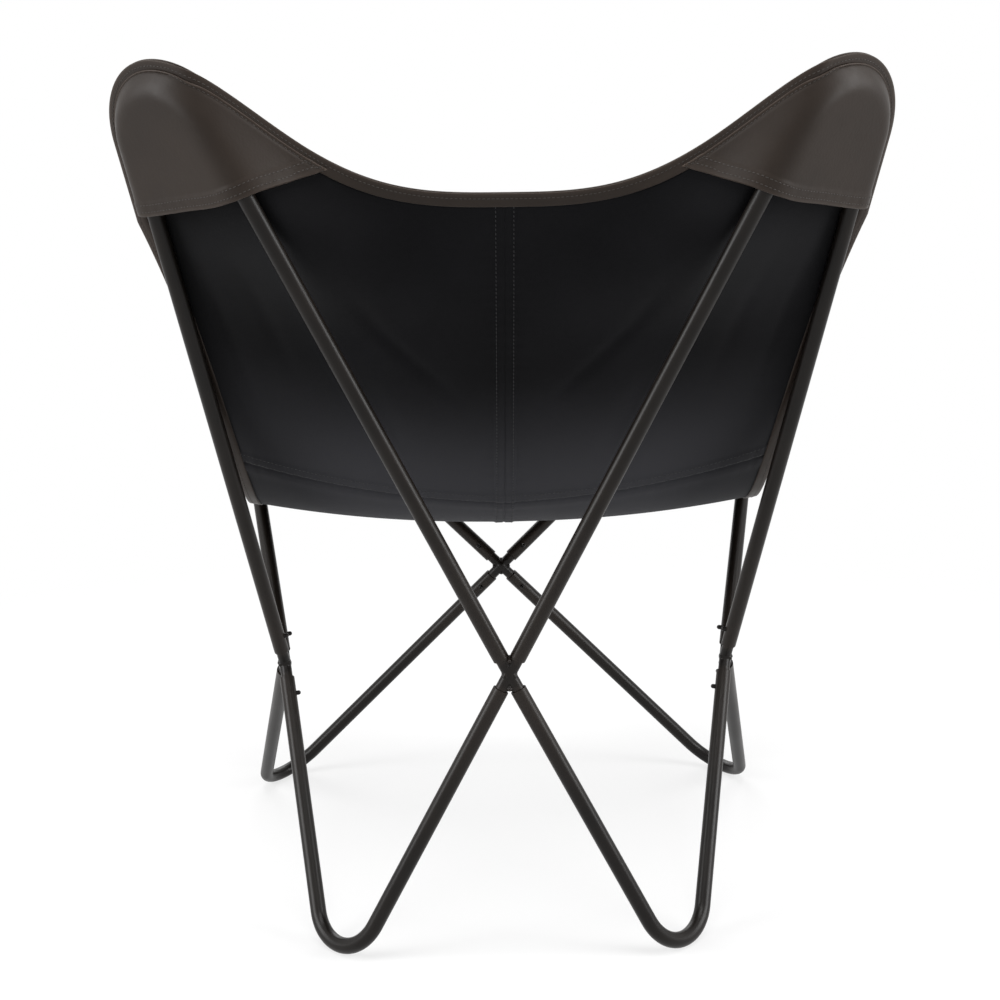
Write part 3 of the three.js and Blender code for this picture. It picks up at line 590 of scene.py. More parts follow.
class Cloth:
    """A sheet without thickness: triangles, and named values at each of its points."""

    def __init__(self, values, triangles):
        self.values = values
        self.triangles = triangles

    def __getitem__(self, name):
        return self.values[name]

    def edges(self):
        return np.vstack([self.triangles[:, [0, 1]], self.triangles[:, [1, 2]], self.triangles[:, [2, 0]]])

    def picked(self, chosen):
        used, triangles = np.unique(self.triangles[chosen], return_inverse=True)
        values = {name: value[used] for name, value in self.values.items()}
        return Cloth(values, triangles.reshape(-1, 3))

    def moved(self, distance, turned_over=False):
        """The same sheet moved along its normals, which point the other way if it is turned over."""
        values = dict(self.values)
        values["point"] = self["point"] + self["normal"] * distance[:, None]
        if turned_over:
            values["normal"] = -self["normal"]
        return Cloth(values, self.triangles)

    def crossings(self, field):
        """Where a field passes zero along the edges of the triangles, as new points and a lookup of edges."""
        inside = field > 0
        edges = self.edges()
        edges = np.sort(edges[inside[edges[:, 0]] != inside[edges[:, 1]]], axis=1)
        edges = np.unique(edges, axis=0)
        lookup = {tuple(edge): i for i, edge in enumerate(edges.tolist())}
        a, b = edges[:, 0], edges[:, 1]
        t = field[a] / (field[a] - field[b])
        between = {}
        for name, value in self.values.items():
            share = t[:, None] if value.ndim > 1 else t
            between[name] = mix(value[a], value[b], share)
        return inside, lookup, between

    def trimmed(self, field):
        """The part where a field is above zero, cut cleanly along its zero line."""
        inside, lookup, between = self.crossings(field)
        count = len(field)
        kept = inside[self.triangles].sum(axis=1)
        triangles = self.triangles[kept == 3].tolist()
        for triangle in self.triangles[(kept == 1) | (kept == 2)].tolist():
            flags = [inside[k] for k in triangle]
            odd = flags.index(True) if sum(flags) == 1 else flags.index(False)
            a, b, c = triangle[odd], triangle[(odd + 1) % 3], triangle[(odd + 2) % 3]
            ab = count + lookup[tuple(sorted((a, b)))]
            ac = count + lookup[tuple(sorted((a, c)))]
            triangles += [[a, ab, ac]] if sum(flags) == 1 else [[ab, b, c], [ab, c, ac]]
        values = {name: np.concatenate([value, between[name]]) for name, value in self.values.items()}
        whole = Cloth(values, np.array(triangles))
        return whole.picked(slice(None))

    def lines(self, field):
        """The field's zero lines, each as a chain of points with normals."""
        inside, lookup, between = self.crossings(field)
        beside = {}
        for triangle in self.triangles.tolist():
            ends = []
            for k in range(3):
                key = tuple(sorted((triangle[k], triangle[(k + 1) % 3])))
                if key in lookup:
                    ends.append(lookup[key])
            if len(ends) == 2:
                beside.setdefault(ends[0], []).append(ends[1])
                beside.setdefault(ends[1], []).append(ends[0])
        chains = []
        waiting = sorted(beside, key=lambda k: len(beside[k]))
        seen = set()
        for first in waiting:
            if first in seen:
                continue
            chain = [first]
            seen.add(first)
            while True:
                following = [k for k in beside[chain[-1]] if k not in seen]
                if not following:
                    break
                chain.append(following[0])
                seen.add(following[0])
            if len(chain) > 3:
                chains.append((between["point"][chain], between["normal"][chain]))
        return chains


def row_lengths(points, row_count, column_count):
    """Distance along each row from its middle column, as the cloth was cut."""
    grid = points.reshape(row_count, column_count, 3)
    steps = np.linalg.norm(np.diff(grid, axis=1), axis=2)
    run = np.concatenate([np.zeros((row_count, 1)), np.cumsum(steps, axis=1)], axis=1)
    return (run - run[:, [column_count // 2]]).ravel()


def sling_cloth():
    """The whole sling. Its columns and rows lie closer at the seams and the edges."""
    seam_steps = np.array([0, 0.6, 2, 5, 8, 9.2, 10.4, 12, 15]) / SIDE_LOW[0]
    half = np.concatenate([seam_steps, np.linspace(0.07, 0.9, 58), np.linspace(0.907, 1, 15), [INNER_EDGE]])
    half = np.unique(np.round(half, 5))
    columns = np.concatenate([-half[:0:-1], half])
    per_mm = 1 / SLING_LENGTH
    above_seam = [-18, -15, -13.6, -12.4, -11, -8, -5, -2.5, -1.2, -0.5]
    near_seam = np.array(above_seam + [0, 0.5, 1.2, 2.5, 4, 6, 8, 10, 13, 16])
    rows = np.concatenate([
        np.linspace(0, 0.03, 13),
        np.linspace(0.034, V_SEAM - 21 * per_mm, 115),
        V_SEAM + near_seam * per_mm,
        np.linspace(V_SEAM + 19 * per_mm, 0.966, 100),
        np.linspace(0.97, 1, 13),
    ])
    u, row_v = (a.ravel() for a in np.meshgrid(columns, rows))
    lifted = SEAM_LIFT * np.abs(u) ** SEAM_SWEEP - SEAM_SAG
    v = row_v - ridge((lifted, SEAM_REACH), row_v - V_SEAM) * smooth(0, 0.1, row_v)
    points, from_edge, _ = sling_points(u, v)
    triangles = grid_triangles(len(rows), len(columns))
    down = run_along(points.reshape(len(rows), len(columns), 3)[:, len(columns) // 2])
    values = {
        "point": points,
        "normal": point_normals(points, triangles),
        "u": u,
        "v": row_v,
        "from_edge": from_edge,
        "cut_across": row_lengths(points, len(rows), len(columns)),
        "cut_along": np.repeat(down, len(columns)),
        "past_seam": np.repeat(down - np.interp(V_SEAM, rows, down), len(columns)),
    }
    return Cloth(values, triangles)


# Materials


def linear(code):
    """A colour written as sRGB hex, as the linear values the shader takes."""
    parts = [int(code[i : i + 2], 16) / 255 for i in (0, 2, 4)]
    return tuple(c / 12.92 if c <= 0.04045 else ((c + 0.055) / 1.055) ** 2.4 for c in parts) + (1.0,)


def per_metre(size_mm):
    """A texture scale whose repeats are this many millimetres wide."""
    return 1000.0 / size_mm


def add(tree, kind, inputs=None, **settings):
    """Adds a node with its settings, and sets or links its inputs."""
    made = tree.nodes.new(kind)
    for name, value in settings.items():
        setattr(made, name, value)
    for key, value in (inputs or {}).items():
        if isinstance(value, bpy.types.NodeSocket):
            tree.links.new(value, made.inputs[key])
        else:
            made.inputs[key].default_value = value
    return made


def start_material(name):
    """A material with an empty tree, and the places by which its patterns are drawn."""
    material = bpy.data.materials.new(name)
    material.use_nodes = True
    tree = material.node_tree
    tree.nodes.clear()
    return material, tree, add(tree, "ShaderNodeTexCoord").outputs["Object"]


def end_material(material, tree, looks):
    shader = add(tree, "ShaderNodeBsdfPrincipled", looks)
    add(tree, "ShaderNodeOutputMaterial", {"Surface": shader.outputs[0]})
    return material


def calculated(tree, operation, *values):
    return add(tree, "ShaderNodeMath", dict(enumerate(values)), operation=operation).outputs[0]


def noise(tree, place, size_mm, detail):
    inputs = {"Vector": place, "Scale": per_metre(size_mm), "Detail": detail}
    return add(tree, "ShaderNodeTexNoise", inputs).outputs["Fac"]


def colour_steps(tree, factor, *stops):
    ramp = add(tree, "ShaderNodeValToRGB", {"Fac": factor})
    while len(ramp.color_ramp.elements) < len(stops):
        ramp.color_ramp.elements.new(0.5)
    for element, (place, code) in zip(ramp.color_ramp.elements, stops):
        element.position = place
        element.color = linear(code)
    return ramp.outputs["Color"]


def read_wear_and_painted_light(tree):
    """How far a piece is paled, from the values at its points: rubbed wear on the paint and leather, painted
    light on the canvas.
    """
    return add(tree, "ShaderNodeAttribute", attribute_name="wear_and_painted_light").outputs["Fac"]


# Mixes in a paler colour: worn places on the paint and leather, painted light on the canvas.
def paled_by_wear_and_painted_light(tree, amount, colour, paler_code):
    # A Mix node has a socket of each kind under one name, so its colour sockets are given by place.
    inputs = {0: amount, 6: colour, 7: linear(paler_code)}
    return add(tree, "ShaderNodeMix", inputs, data_type="RGBA").outputs[2]


def roughness_from(tree, pattern, low, high):
    """Roughness that follows a pattern, over the range in which most of a noise's values lie."""
    inputs = {"Value": pattern, "From Min": 0.3, "From Max": 0.7, "To Min": low, "To Max": high}
    return add(tree, "ShaderNodeMapRange", inputs).outputs["Result"]


def relief_from(tree, pattern, strength, height_mm, **under):
    """A bump that follows a pattern, on top of another bump where one is given as Normal."""
    inputs = {"Height": pattern, "Strength": strength, "Distance": height_mm * MM, **under}
    return add(tree, "ShaderNodeBump", inputs).outputs["Normal"]


def powder_coated_steel():
    # Baked powder paint: satin, dark brown-black, with a faint orange-peel skin that breaks up its
    # highlights, and paler where the tubes rub at their ends and on the floor.
    material, tree, place = start_material("satin powder-coated steel")
    # The real skin is about 0.5 mm wide, drawn at 2.2 mm so that it shows.
    peel = noise(tree, place, 2.2, 2.0)
    cloud = noise(tree, place, 60, 3.0)
    scuffs = noise(tree, place, 1.6, 4.0)
    bared = calculated(tree, "MULTIPLY", read_wear_and_painted_light(tree), scuffs)
    paint = colour_steps(tree, cloud, (0.3, "0d0a08"), (0.7, "15110e"))
    return end_material(material, tree, {
        "Base Color": paled_by_wear_and_painted_light(tree, bared, paint, "3d352f"),
        "Roughness": roughness_from(tree, cloud, 0.3, 0.38),
        "Normal": relief_from(tree, peel, 0.1, 0.4),
        "IOR": 1.5,
        "Specular IOR Level": 0.19,
    })


def grained_leather():
    # Drum-dyed cow hide with a waxed finish: near-black brown, small pebbled grain, a soft wide sheen,
    # and paler brown along its cut edges and where it stretches over the tubes.
    material, tree, place = start_material("grained dark leather")
    # The real grain is about 1 mm wide, drawn at 2.4 mm so that it shows.
    grain = add(
        tree, "ShaderNodeTexVoronoi", {"Vector": place, "Scale": per_metre(2.4), "Randomness": 1.0},
        feature="SMOOTH_F1",
    )
    creases = noise(tree, place, 14, 5.0)
    hide = noise(tree, place, 120, 4.0)
    dye = colour_steps(tree, hide, (0.3, "221c18"), (0.7, "2b241f"))
    fine = relief_from(tree, grain.outputs["Distance"], 0.12, 0.5)
    return end_material(material, tree, {
        "Base Color": paled_by_wear_and_painted_light(tree, read_wear_and_painted_light(tree), dye, "453b34"),
        "Roughness": roughness_from(tree, creases, 0.4, 0.5),
        "Normal": relief_from(tree, creases, 0.1, 1.0, Normal=fine),
        "IOR": 1.5,
        "Specular IOR Level": 0.14,
        "Sheen Weight": 0.02,
        "Sheen Roughness": 0.4,
    })


# A wave texture of scale 1 runs through 20 radians in a unit.
WAVES_PER_UNIT = 20 / (2 * math.pi)


def woven_canvas():
    # Plain-woven cotton duck dyed black: matt, with a fine weave of crossing threads,
    # pale lint, and painted light: a paler colour over the belly above the cross seam, where it is lit more.
    material, tree, place = start_material("black cotton canvas")
    cut = add(tree, "ShaderNodeUVMap", uv_map="cut").outputs["UV"]
    # The real threads are about 0.7 mm apart, drawn at 2 mm so that they show.
    threads = []
    for direction in ("X", "Y"):
        wave = add(
            tree, "ShaderNodeTexWave",
            {"Vector": cut, "Scale": per_metre(2.0) / WAVES_PER_UNIT, "Distortion": 1.2, "Detail": 1.0},
            bands_direction=direction,
        )
        threads.append(wave.outputs["Fac"])
    weave = calculated(tree, "MULTIPLY", *threads)
    fading = noise(tree, place, 150, 4.0)
    lint = calculated(tree, "MULTIPLY", noise(tree, place, 3.0, 3.0), weave)
    shade = calculated(tree, "MULTIPLY_ADD", lint, 0.15, fading)
    dye = colour_steps(tree, shade, (0.3, "0a0a0b"), (0.85, "141416"))
    return end_material(material, tree, {
        # The paler colour 2d2d30 is painted light, on the canvas belly where it is lit more.
        "Base Color": paled_by_wear_and_painted_light(tree, read_wear_and_painted_light(tree), dye, "2d2d30"),
        "Roughness": 0.92,
        "Normal": relief_from(tree, weave, 0.1, 0.3),
        "IOR": 1.45,
        "Specular IOR Level": 0.06,
        "Sheen Weight": 0.05,
        "Sheen Roughness": 0.5,
    })


def twisted_thread(name, code):
    # Waxed, twisted polyester thread: a dull glint on each stitch and a slanting twist.
    material, tree, place = start_material(name)
    twist = noise(tree, place, 0.9, 1.0)
    dark = "%02x%02x%02x" % tuple(int(int(code[i : i + 2], 16) * 0.7) for i in (0, 2, 4))
    return end_material(material, tree, {
        "Base Color": colour_steps(tree, twist, (0.35, dark), (0.65, code)),
        "Roughness": 0.6,
        "Normal": relief_from(tree, twist, 0.3, 0.3),
        "IOR": 1.5,
    })


def steel_finish(name, dark, pale, rough_low, rough_high):
    # Turned or rolled steel: metal with fine marks that spread its highlights.
    material, tree, place = start_material(name)
    marks = noise(tree, place, 0.8, 3.0)
    return end_material(material, tree, {
        "Base Color": colour_steps(tree, marks, (0.35, dark), (0.65, pale)),
        "Metallic": 1.0,
        "Roughness": roughness_from(tree, marks, rough_low, rough_high),
        "Normal": relief_from(tree, marks, 0.1, 0.2),
    })


frame_paint = powder_coated_steel()
leather = grained_leather()
canvas = woven_canvas()
leather_thread = twisted_thread("dark brown waxed thread", "302a25")
canvas_thread = twisted_thread("black waxed thread", "141416")
button_steel = steel_finish("black-oxide button steel", "1d1c1c", "2d2b2a", 0.3, 0.42)
spring_steel = steel_finish("rolled spring steel", "77787b", "96979a", 0.25, 0.4)


# Pieces


def mesh_from(name, points, faces, material):
    mesh = bpy.data.meshes.new(name)
    mesh.from_pydata(in_metres(points).tolist(), [], faces)
    mesh.materials.append(material)
    mesh.polygons.foreach_set("use_smooth", [True] * len(mesh.polygons))
    return mesh


def object_from(data):
    made = bpy.data.objects.new(data.name, data)
    bpy.context.scene.collection.objects.link(made)
    return made


def made_plain(made):
    """Turns an object with modifiers into a plain mesh."""
    bpy.context.view_layer.update()
    evaluated = made.evaluated_get(bpy.context.evaluated_depsgraph_get())
    mesh = bpy.data.meshes.new_from_object(evaluated)
    made.modifiers.clear()
    old = made.data
    made.data = mesh
    bpy.data.meshes.remove(old)
    mesh.name = made.name
    return made


def give_modifier(made, name, kind, **settings):
    modifier = made.modifiers.new(name, kind)
    for key, value in settings.items():
        setattr(modifier, key, value)
    return modifier


def keep_piece(made, body, slot, *nodes):
    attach(made, body)
    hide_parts(*nodes)
    return made


def mesh_points(mesh):
    flat = np.zeros(len(mesh.vertices) * 3)
    mesh.vertices.foreach_get("co", flat)
    return flat.reshape(-1, 3) / MM - CHAIR_SHIFT


# How far each point is paled: wear on the frame and the leather, painted light on the canvas.
def set_wear_and_painted_light(mesh, amounts):
    layer = mesh.attributes.new("wear_and_painted_light", "FLOAT", "POINT")
    layer.data.foreach_set("value", np.asarray(amounts, dtype=np.float32))


def bar(points_from, points_to, radius, sides, into):
    """A round bar between two points, added to a mesh under construction."""
    way = Vector(points_to - points_from)
    turn = way.to_track_quat("Z", "Y").to_matrix().to_4x4()
    place = Matrix.Translation(Vector((points_from + points_to) / 2)) @ turn
    bmesh.ops.create_cone(
        into, cap_ends=True, segments=sides, radius1=radius, radius2=radius, depth=way.length, matrix=place
    )


def mesh_of_bars(name, bars, material, balls=()):
    work = bmesh.new()
    for points_from, points_to, radius, sides in bars:
        bar(points_from, points_to, radius, sides, work)
    for centre, radius in balls:
        bmesh.ops.create_icosphere(
            work, subdivisions=2, radius=radius, matrix=Matrix.Translation(Vector(centre))
        )
    bmesh.ops.triangulate(work, faces=work.faces[:])
    points = np.array([v.co[:] for v in work.verts])
    faces = [[v.index for v in f.verts] for f in work.faces]
    work.free()
    return mesh_from(name, points, faces, material)


def cut_away(made, cutter_mesh):
    cutter = object_from(cutter_mesh)
    give_modifier(made, "holes", "BOOLEAN", operation="DIFFERENCE", solver="EXACT", object=cutter)
    made_plain(made)
    bpy.data.objects.remove(cutter)


# Geometry Nodes


def start_group(name, inputs):
    tree = bpy.data.node_groups.new(name, "GeometryNodeTree")
    tree.is_modifier = True
    tree.interface.new_socket("Geometry", in_out="INPUT", socket_type="NodeSocketGeometry")
    for label, kind, default in inputs:
        socket = tree.interface.new_socket(label, in_out="INPUT", socket_type=kind)
        if default is not None:
            socket.default_value = default
    tree.interface.new_socket("Geometry", in_out="OUTPUT", socket_type="NodeSocketGeometry")
    return tree, add(tree, "NodeGroupInput").outputs


def end_group(tree, given, geometry):
    real = add(tree, "GeometryNodeRealizeInstances", {"Geometry": geometry})
    soft = add(tree, "GeometryNodeSetShadeSmooth", {"Geometry": real.outputs["Geometry"]})
    dressed = add(
        tree, "GeometryNodeSetMaterial", {"Geometry": soft.outputs["Geometry"], "Material": given["Material"]}
    )
    add(tree, "NodeGroupOutput", {"Geometry": dressed.outputs["Geometry"]})


def tube_tree():
    """Sweeps a round section along a tube's centre line."""
    tree, given = start_group(
        "bent tube",
        [
            ("Diameter", "NodeSocketFloat", 2 * TUBE_RADIUS * MM),
            ("Sides", "NodeSocketInt", TUBE_SIDES),
            ("Material", "NodeSocketMaterial", None),
        ],
    )
    path = add(tree, "GeometryNodeMeshToCurve", {"Mesh": given["Geometry"]})
    radius = calculated(tree, "MULTIPLY", given["Diameter"], 0.5)
    section = add(tree, "GeometryNodeCurvePrimitiveCircle", {"Resolution": given["Sides"], "Radius": radius})
    swept = add(
        tree, "GeometryNodeCurveToMesh",
        {"Curve": path.outputs["Curve"], "Profile Curve": section.outputs["Curve"]},
    )
    end_group(tree, given, swept.outputs["Mesh"])
    return tree


def stitch_tree():
    """Lays stitches of one length along sewn lines, flat on the surface and a little slanted."""
    tree, given = start_group(
        "stitch rows",
        [
            ("Pitch", "NodeSocketFloat", STITCH_PITCH * MM),
            ("Length", "NodeSocketFloat", STITCH_LENGTH * MM),
            ("Thread", "NodeSocketFloat", THREAD_DIAMETER * MM),
            ("Slant", "NodeSocketFloat", 0.12),
            ("Material", "NodeSocketMaterial", None),
        ],
    )
    path = add(tree, "GeometryNodeMeshToCurve", {"Mesh": given["Geometry"]})
    spaced = add(
        tree, "GeometryNodeResampleCurve", {"Curve": path.outputs["Curve"], "Length": given["Pitch"]},
        mode="LENGTH",
    )
    up = add(tree, "GeometryNodeInputNamedAttribute", {"Name": "up"}, data_type="FLOAT_VECTOR")
    along = add(tree, "GeometryNodeInputTangent")
    lie = add(
        tree, "FunctionNodeAxesToRotation",
        {"Primary Axis": up.outputs["Attribute"], "Secondary Axis": along.outputs["Tangent"]},
        primary_axis="Z", secondary_axis="X",
    )
    least = calculated(tree, "MULTIPLY", given["Slant"], 0.3)
    # A Random Value node too has sockets of each kind under one name: 2 and 3 are its least and most.
    uneven = add(
        tree, "FunctionNodeRandomValue", {2: least, 3: given["Slant"], "Seed": 7},
        data_type="FLOAT",
    )
    slant = add(tree, "ShaderNodeCombineXYZ", {"Z": uneven.outputs[1]})
    turned = add(
        tree, "FunctionNodeRotateRotation",
        {"Rotation": lie.outputs["Rotation"], "Rotate By": slant.outputs["Vector"]},
        rotation_space="LOCAL",
    )
    bead = add(tree, "GeometryNodeMeshUVSphere", {"Segments": 6, "Rings": 4, "Radius": 0.5})
    size = add(
        tree, "ShaderNodeCombineXYZ",
        {"X": given["Length"], "Y": given["Thread"], "Z": given["Thread"]},
    )
    stitch = add(
        tree, "GeometryNodeTransform", {"Geometry": bead.outputs["Mesh"], "Scale": size.outputs["Vector"]}
    )
    placed = add(
        tree, "GeometryNodeInstanceOnPoints",
        {
            "Points": spaced.outputs["Curve"],
            "Instance": stitch.outputs["Geometry"],
            "Rotation": turned.outputs["Rotation"],
        },
    )
    end_group(tree, given, placed.outputs["Instances"])
    return tree


def run_tree(made, tree, **inputs):
    """Gives an object a node tree, sets its inputs by their identifiers, and makes the result plain."""
    modifier = give_modifier(made, tree.name, "NODES", node_group=tree)
    for item in tree.interface.items_tree:
        if item.item_type == "SOCKET" and item.in_out == "INPUT" and item.name in inputs:
            modifier[item.identifier] = inputs[item.name]
    return made_plain(made)


def line_object(name, chains, lift=0.0):
    """Open lines as edges, each point with the surface's way up."""
    points, ups, edges = [], [], []
    for chain, normals in chains:
        start = len(points)
        points.extend(chain + normals * lift)
        ups.extend(normals)
        edges.extend((start + k, start + k + 1) for k in range(len(chain) - 1))
    mesh = bpy.data.meshes.new(name)
    mesh.from_pydata(in_metres(np.array(points)).tolist(), edges, [])
    layer = mesh.attributes.new("up", "FLOAT_VECTOR", "POINT")
    layer.data.foreach_set("vector", np.array(ups, dtype=np.float32).ravel())
    return object_from(mesh)


# The steel frame

tube_nodes = tube_tree()


def soften(mesh, angle):
    """Smooth shading that keeps edges sharper than an angle."""
    mesh.polygons.foreach_set("use_smooth", [True] * len(mesh.polygons))
    work = bmesh.new()
    work.from_mesh(mesh)
    for edge in work.edges:
        edge.smooth = len(edge.link_faces) != 2 or edge.calc_face_angle(0) < math.radians(angle)
    work.to_mesh(mesh)
    work.free()


def button_holes(ends):
    return [(e.seat, e.seat + e.facing * BUTTON_TIP, BUTTON_HOLE_RADIUS, HOLE_SIDES) for e in ends]


def make_tube(tube):
    line = tube.bend.centre_line()
    made = line_object(f"{tube.name}_painted_tube", [(line, np.tile([0, 0, 1.0], (len(line), 1)))])
    run_tree(made, tube_nodes, Material=frame_paint)
    give_modifier(made, "wall", "SOLIDIFY", thickness=TUBE_WALL * MM, offset=-1.0)
    give_modifier(
        made, "rims", "BEVEL",
        width=RIM_BEVEL * MM, segments=2, limit_method="ANGLE", angle_limit=math.radians(60),
    )
    made_plain(made)
    cut_away(made, mesh_of_bars(f"{tube.name}_holes", button_holes(tube.ends), frame_paint))
    points = mesh_points(made.data)
    if tube.on_floor:
        points[:, 2] = np.maximum(points[:, 2], 0.0)
        made.data.vertices.foreach_set("co", in_metres(points).ravel())
    wear_and_painted_light = np.zeros(len(points))
    for end in tube.ends:
        from_end = dot(points - end.hub, end.arm) - TUBE_END_FROM_HUB
        wear_and_painted_light += worn(RUB_AT_END, from_end)
        from_hole = np.linalg.norm(points - end.seat - end.facing * TUBE_RADIUS, axis=1)
        wear_and_painted_light += worn(RUB_AT_BUTTON, from_hole - FLANGE_RADIUS)
    if tube.on_floor:
        wear_and_painted_light += worn(RUB_ON_FLOOR, points[:, 2])
    set_wear_and_painted_light(made.data, np.clip(wear_and_painted_light, 0, 1))
    soften(made.data, SOFT_ANGLE)
    return keep_piece(made, "chair", "frame_paint", f"{tube.name}_tube")


def make_cross(hub_name, hub, ends):
    """Four spigots and the weld between them, grown into one skin and then bored."""
    bars = [(hub, hub + e.arm * SPIGOT_LENGTH, SPIGOT_RADIUS + WELD_SHRINK, SPIGOT_SIDES) for e in ends]
    beads = [(hub, WELD_BALL_RADIUS)]
    for i, one in enumerate(ends):
        for other in ends[i + 1 :]:
            half = math.acos(np.clip(dot(one.arm, other.arm), -1, 1)) / 2
            if half > WIDEST_WELD:
                continue
            between = unit(one.arm + other.arm)
            upright = unit(np.cross(one.arm, other.arm))
            out = (SPIGOT_RADIUS + WELD_ROUND) / math.sin(half) - WELD_ROUND - WELD_SINK
            for k in range(-WELD_BEADS, WELD_BEADS + 1):
                bead = hub + between * (out - WELD_CROWN * abs(k)) + upright * WELD_BEAD_PITCH * k
                beads.append((bead, WELD_BEAD_RADIUS + WELD_RIPPLE * (k % 2)))
    made = object_from(mesh_of_bars(f"{hub_name}_welded_cross", bars, frame_paint, beads))
    give_modifier(made, "skin", "REMESH", mode="VOXEL", voxel_size=WELD_SKIN * MM, use_smooth_shade=True)
    give_modifier(made, "ease", "SMOOTH", factor=0.5, iterations=3)
    made_plain(made)
    floor, mouth = SPIGOT_BORE_FLOOR, SPIGOT_LENGTH + BORE_OVERCUT
    bores = [(hub + e.arm * floor, hub + e.arm * mouth, SPIGOT_BORE_RADIUS, BORE_SIDES) for e in ends]
    cut_away(made, mesh_of_bars(f"{hub_name}_bores", bores, frame_paint))
    cut_away(made, mesh_of_bars(f"{hub_name}_holes", button_holes(ends), frame_paint))
    made.data.materials.clear()
    made.data.materials.append(frame_paint)
    points = mesh_points(made.data)
    set_wear_and_painted_light(made.data, CROSS_RUB * smooth(*CROSS_RUB_FROM_HUB, np.linalg.norm(points - hub, axis=1)))
    soften(made.data, SOFT_ANGLE)
    return keep_piece(made, "chair", "frame_paint", f"{hub_name}_cross")


def make_button(end):
    """A turned button: a flange inside the spigot, a straight neck and a round tip."""
    bottom, edge = FLANGE_TOP - FLANGE_THICKNESS, BUTTON_EDGE
    profile = [
        (0.0, bottom),
        (FLANGE_RADIUS - edge, bottom),
        (FLANGE_RADIUS, bottom + edge),
        (FLANGE_RADIUS, FLANGE_TOP - edge),
        (FLANGE_RADIUS - edge, FLANGE_TOP),
        (BUTTON_RADIUS + edge, FLANGE_TOP),
        (BUTTON_RADIUS, FLANGE_TOP + edge),
    ]
    for angle in np.linspace(0, math.pi / 2, BUTTON_TIP_STEPS, endpoint=False):
        profile.append((BUTTON_RADIUS * math.cos(angle), BUTTON_TIP - BUTTON_RADIUS * (1 - math.sin(angle))))
    profile.append((0.0, BUTTON_TIP))
    sides = BUTTON_SIDES
    across_way = np.cross(end.arm, end.facing)
    points, faces, rings = [], [], []
    for radius, height in profile:
        if radius == 0.0:
            rings.append([len(points)] * sides)
            points.append(end.seat + end.facing * height)
            continue
        rings.append(list(range(len(points), len(points) + sides)))
        for k in range(sides):
            turn = 2 * math.pi * k / sides
            out = end.arm * math.cos(turn) + across_way * math.sin(turn)
            points.append(end.seat + end.facing * height + out * radius)
    for lower, upper in zip(rings, rings[1:]):
        for k in range(sides):
            n = (k + 1) % sides
            corners = [lower[k], upper[k], upper[n], lower[n]]
            faces.append(list(dict.fromkeys(corners)))
    mesh = mesh_from(f"{end.name}_turned_button", np.array(points), faces, button_steel)
    work = bmesh.new()
    work.from_mesh(mesh)
    bmesh.ops.recalc_face_normals(work, faces=work.faces[:])
    work.to_mesh(mesh)
    work.free()
    soften(mesh, BUTTON_SOFT_ANGLE)
    return keep_piece(object_from(mesh), f"{end.name}_button", "button_steel", f"{end.name}_button")


for tube in tubes:
    make_tube(tube)

all_ends = [end for tube in tubes for end in tube.ends]
hubs = {"back": BACK_HUB, "front": FRONT_HUB, "left": LEFT_HUB, "right": mirrored(LEFT_HUB)}
for hub_name, hub in hubs.items():
    make_cross(hub_name, hub, [end for end in all_ends if end.hub_name == hub_name])

for end in all_ends:
    make_button(end)
    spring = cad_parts[f"{end.name}_spring"]
    spring.data.materials.clear()
    spring.data.materials.append(spring_steel)


# The sling


def thick_sheet(name, cloth, low, high, material, wear_and_painted_light):
    """A closed sheet from a cloth: a face on each side of it, and a rounded edge all round."""
    points, normals, triangles = cloth["point"], cloth["normal"], cloth.triangles
    count = len(points)
    low, high = np.broadcast_to(low, count), np.broadcast_to(high, count)
    edges = cloth.edges()
    keys = np.sort(edges, axis=1)
    _, first, uses = np.unique(keys, axis=0, return_index=True, return_counts=True)
    rim = edges[first[uses == 1]]
    outward = np.zeros_like(points)
    way = np.cross(unit(points[rim[:, 1]] - points[rim[:, 0]]), normals[rim[:, 0]])
    for k in (0, 1):
        np.add.at(outward, rim[:, k], way)
    on_rim = np.unique(rim)
    outward[on_rim] = unit(outward[on_rim])
    rounded = EDGE_ROUND * (high - low)[on_rim, None]
    middle = points[on_rim] + normals[on_rim] * ((low + high) / 2)[on_rim, None] + outward[on_rim] * rounded
    all_points = np.vstack([points + normals * low[:, None], points + normals * high[:, None], middle])
    middle_at = np.zeros(count, dtype=int)
    middle_at[on_rim] = 2 * count + np.arange(len(on_rim))
    a, b = rim[:, 0], rim[:, 1]
    lower_rim = np.stack([a, middle_at[a], middle_at[b], b], axis=1)
    upper_rim = np.stack([middle_at[a], a + count, b + count, middle_at[b]], axis=1)
    faces = triangles[:, ::-1].tolist() + (triangles + count).tolist()
    faces += lower_rim[:, ::-1].tolist() + upper_rim[:, ::-1].tolist()
    mesh = mesh_from(name, all_points, faces, material)
    source = np.concatenate([np.arange(count), np.arange(count), on_rim])
    cut = np.stack([cloth["cut_across"], cloth["cut_along"]], axis=1)[source] * MM
    corner = np.zeros(len(mesh.loops), dtype=np.int32)
    mesh.loops.foreach_get("vertex_index", corner)
    mesh.uv_layers.new(name="cut").data.foreach_set("uv", cut[corner].astype(np.float32).ravel())
    set_wear_and_painted_light(mesh, np.broadcast_to(wear_and_painted_light, count)[source])
    return object_from(mesh)


sling = sling_cloth()
triangle_v = sling["v"][sling.triangles].mean(axis=1)
triangle_u = sling["u"][sling.triangles].mean(axis=1)
on_back = triangle_v < V_SEAM

LEATHER = leather, "sling_leather"
CANVAS = canvas, "sling_canvas"
leather_rows = []
canvas_rows = []


def keep_sheet(name, cloth, low, high, finish, wear_and_painted_light, node):
    """Makes a sheet of leather or canvas that stands for a node."""
    material, slot = finish
    made = thick_sheet(name, cloth, low, high, material, wear_and_painted_light)
    keep_piece(made, "chair", slot, node)


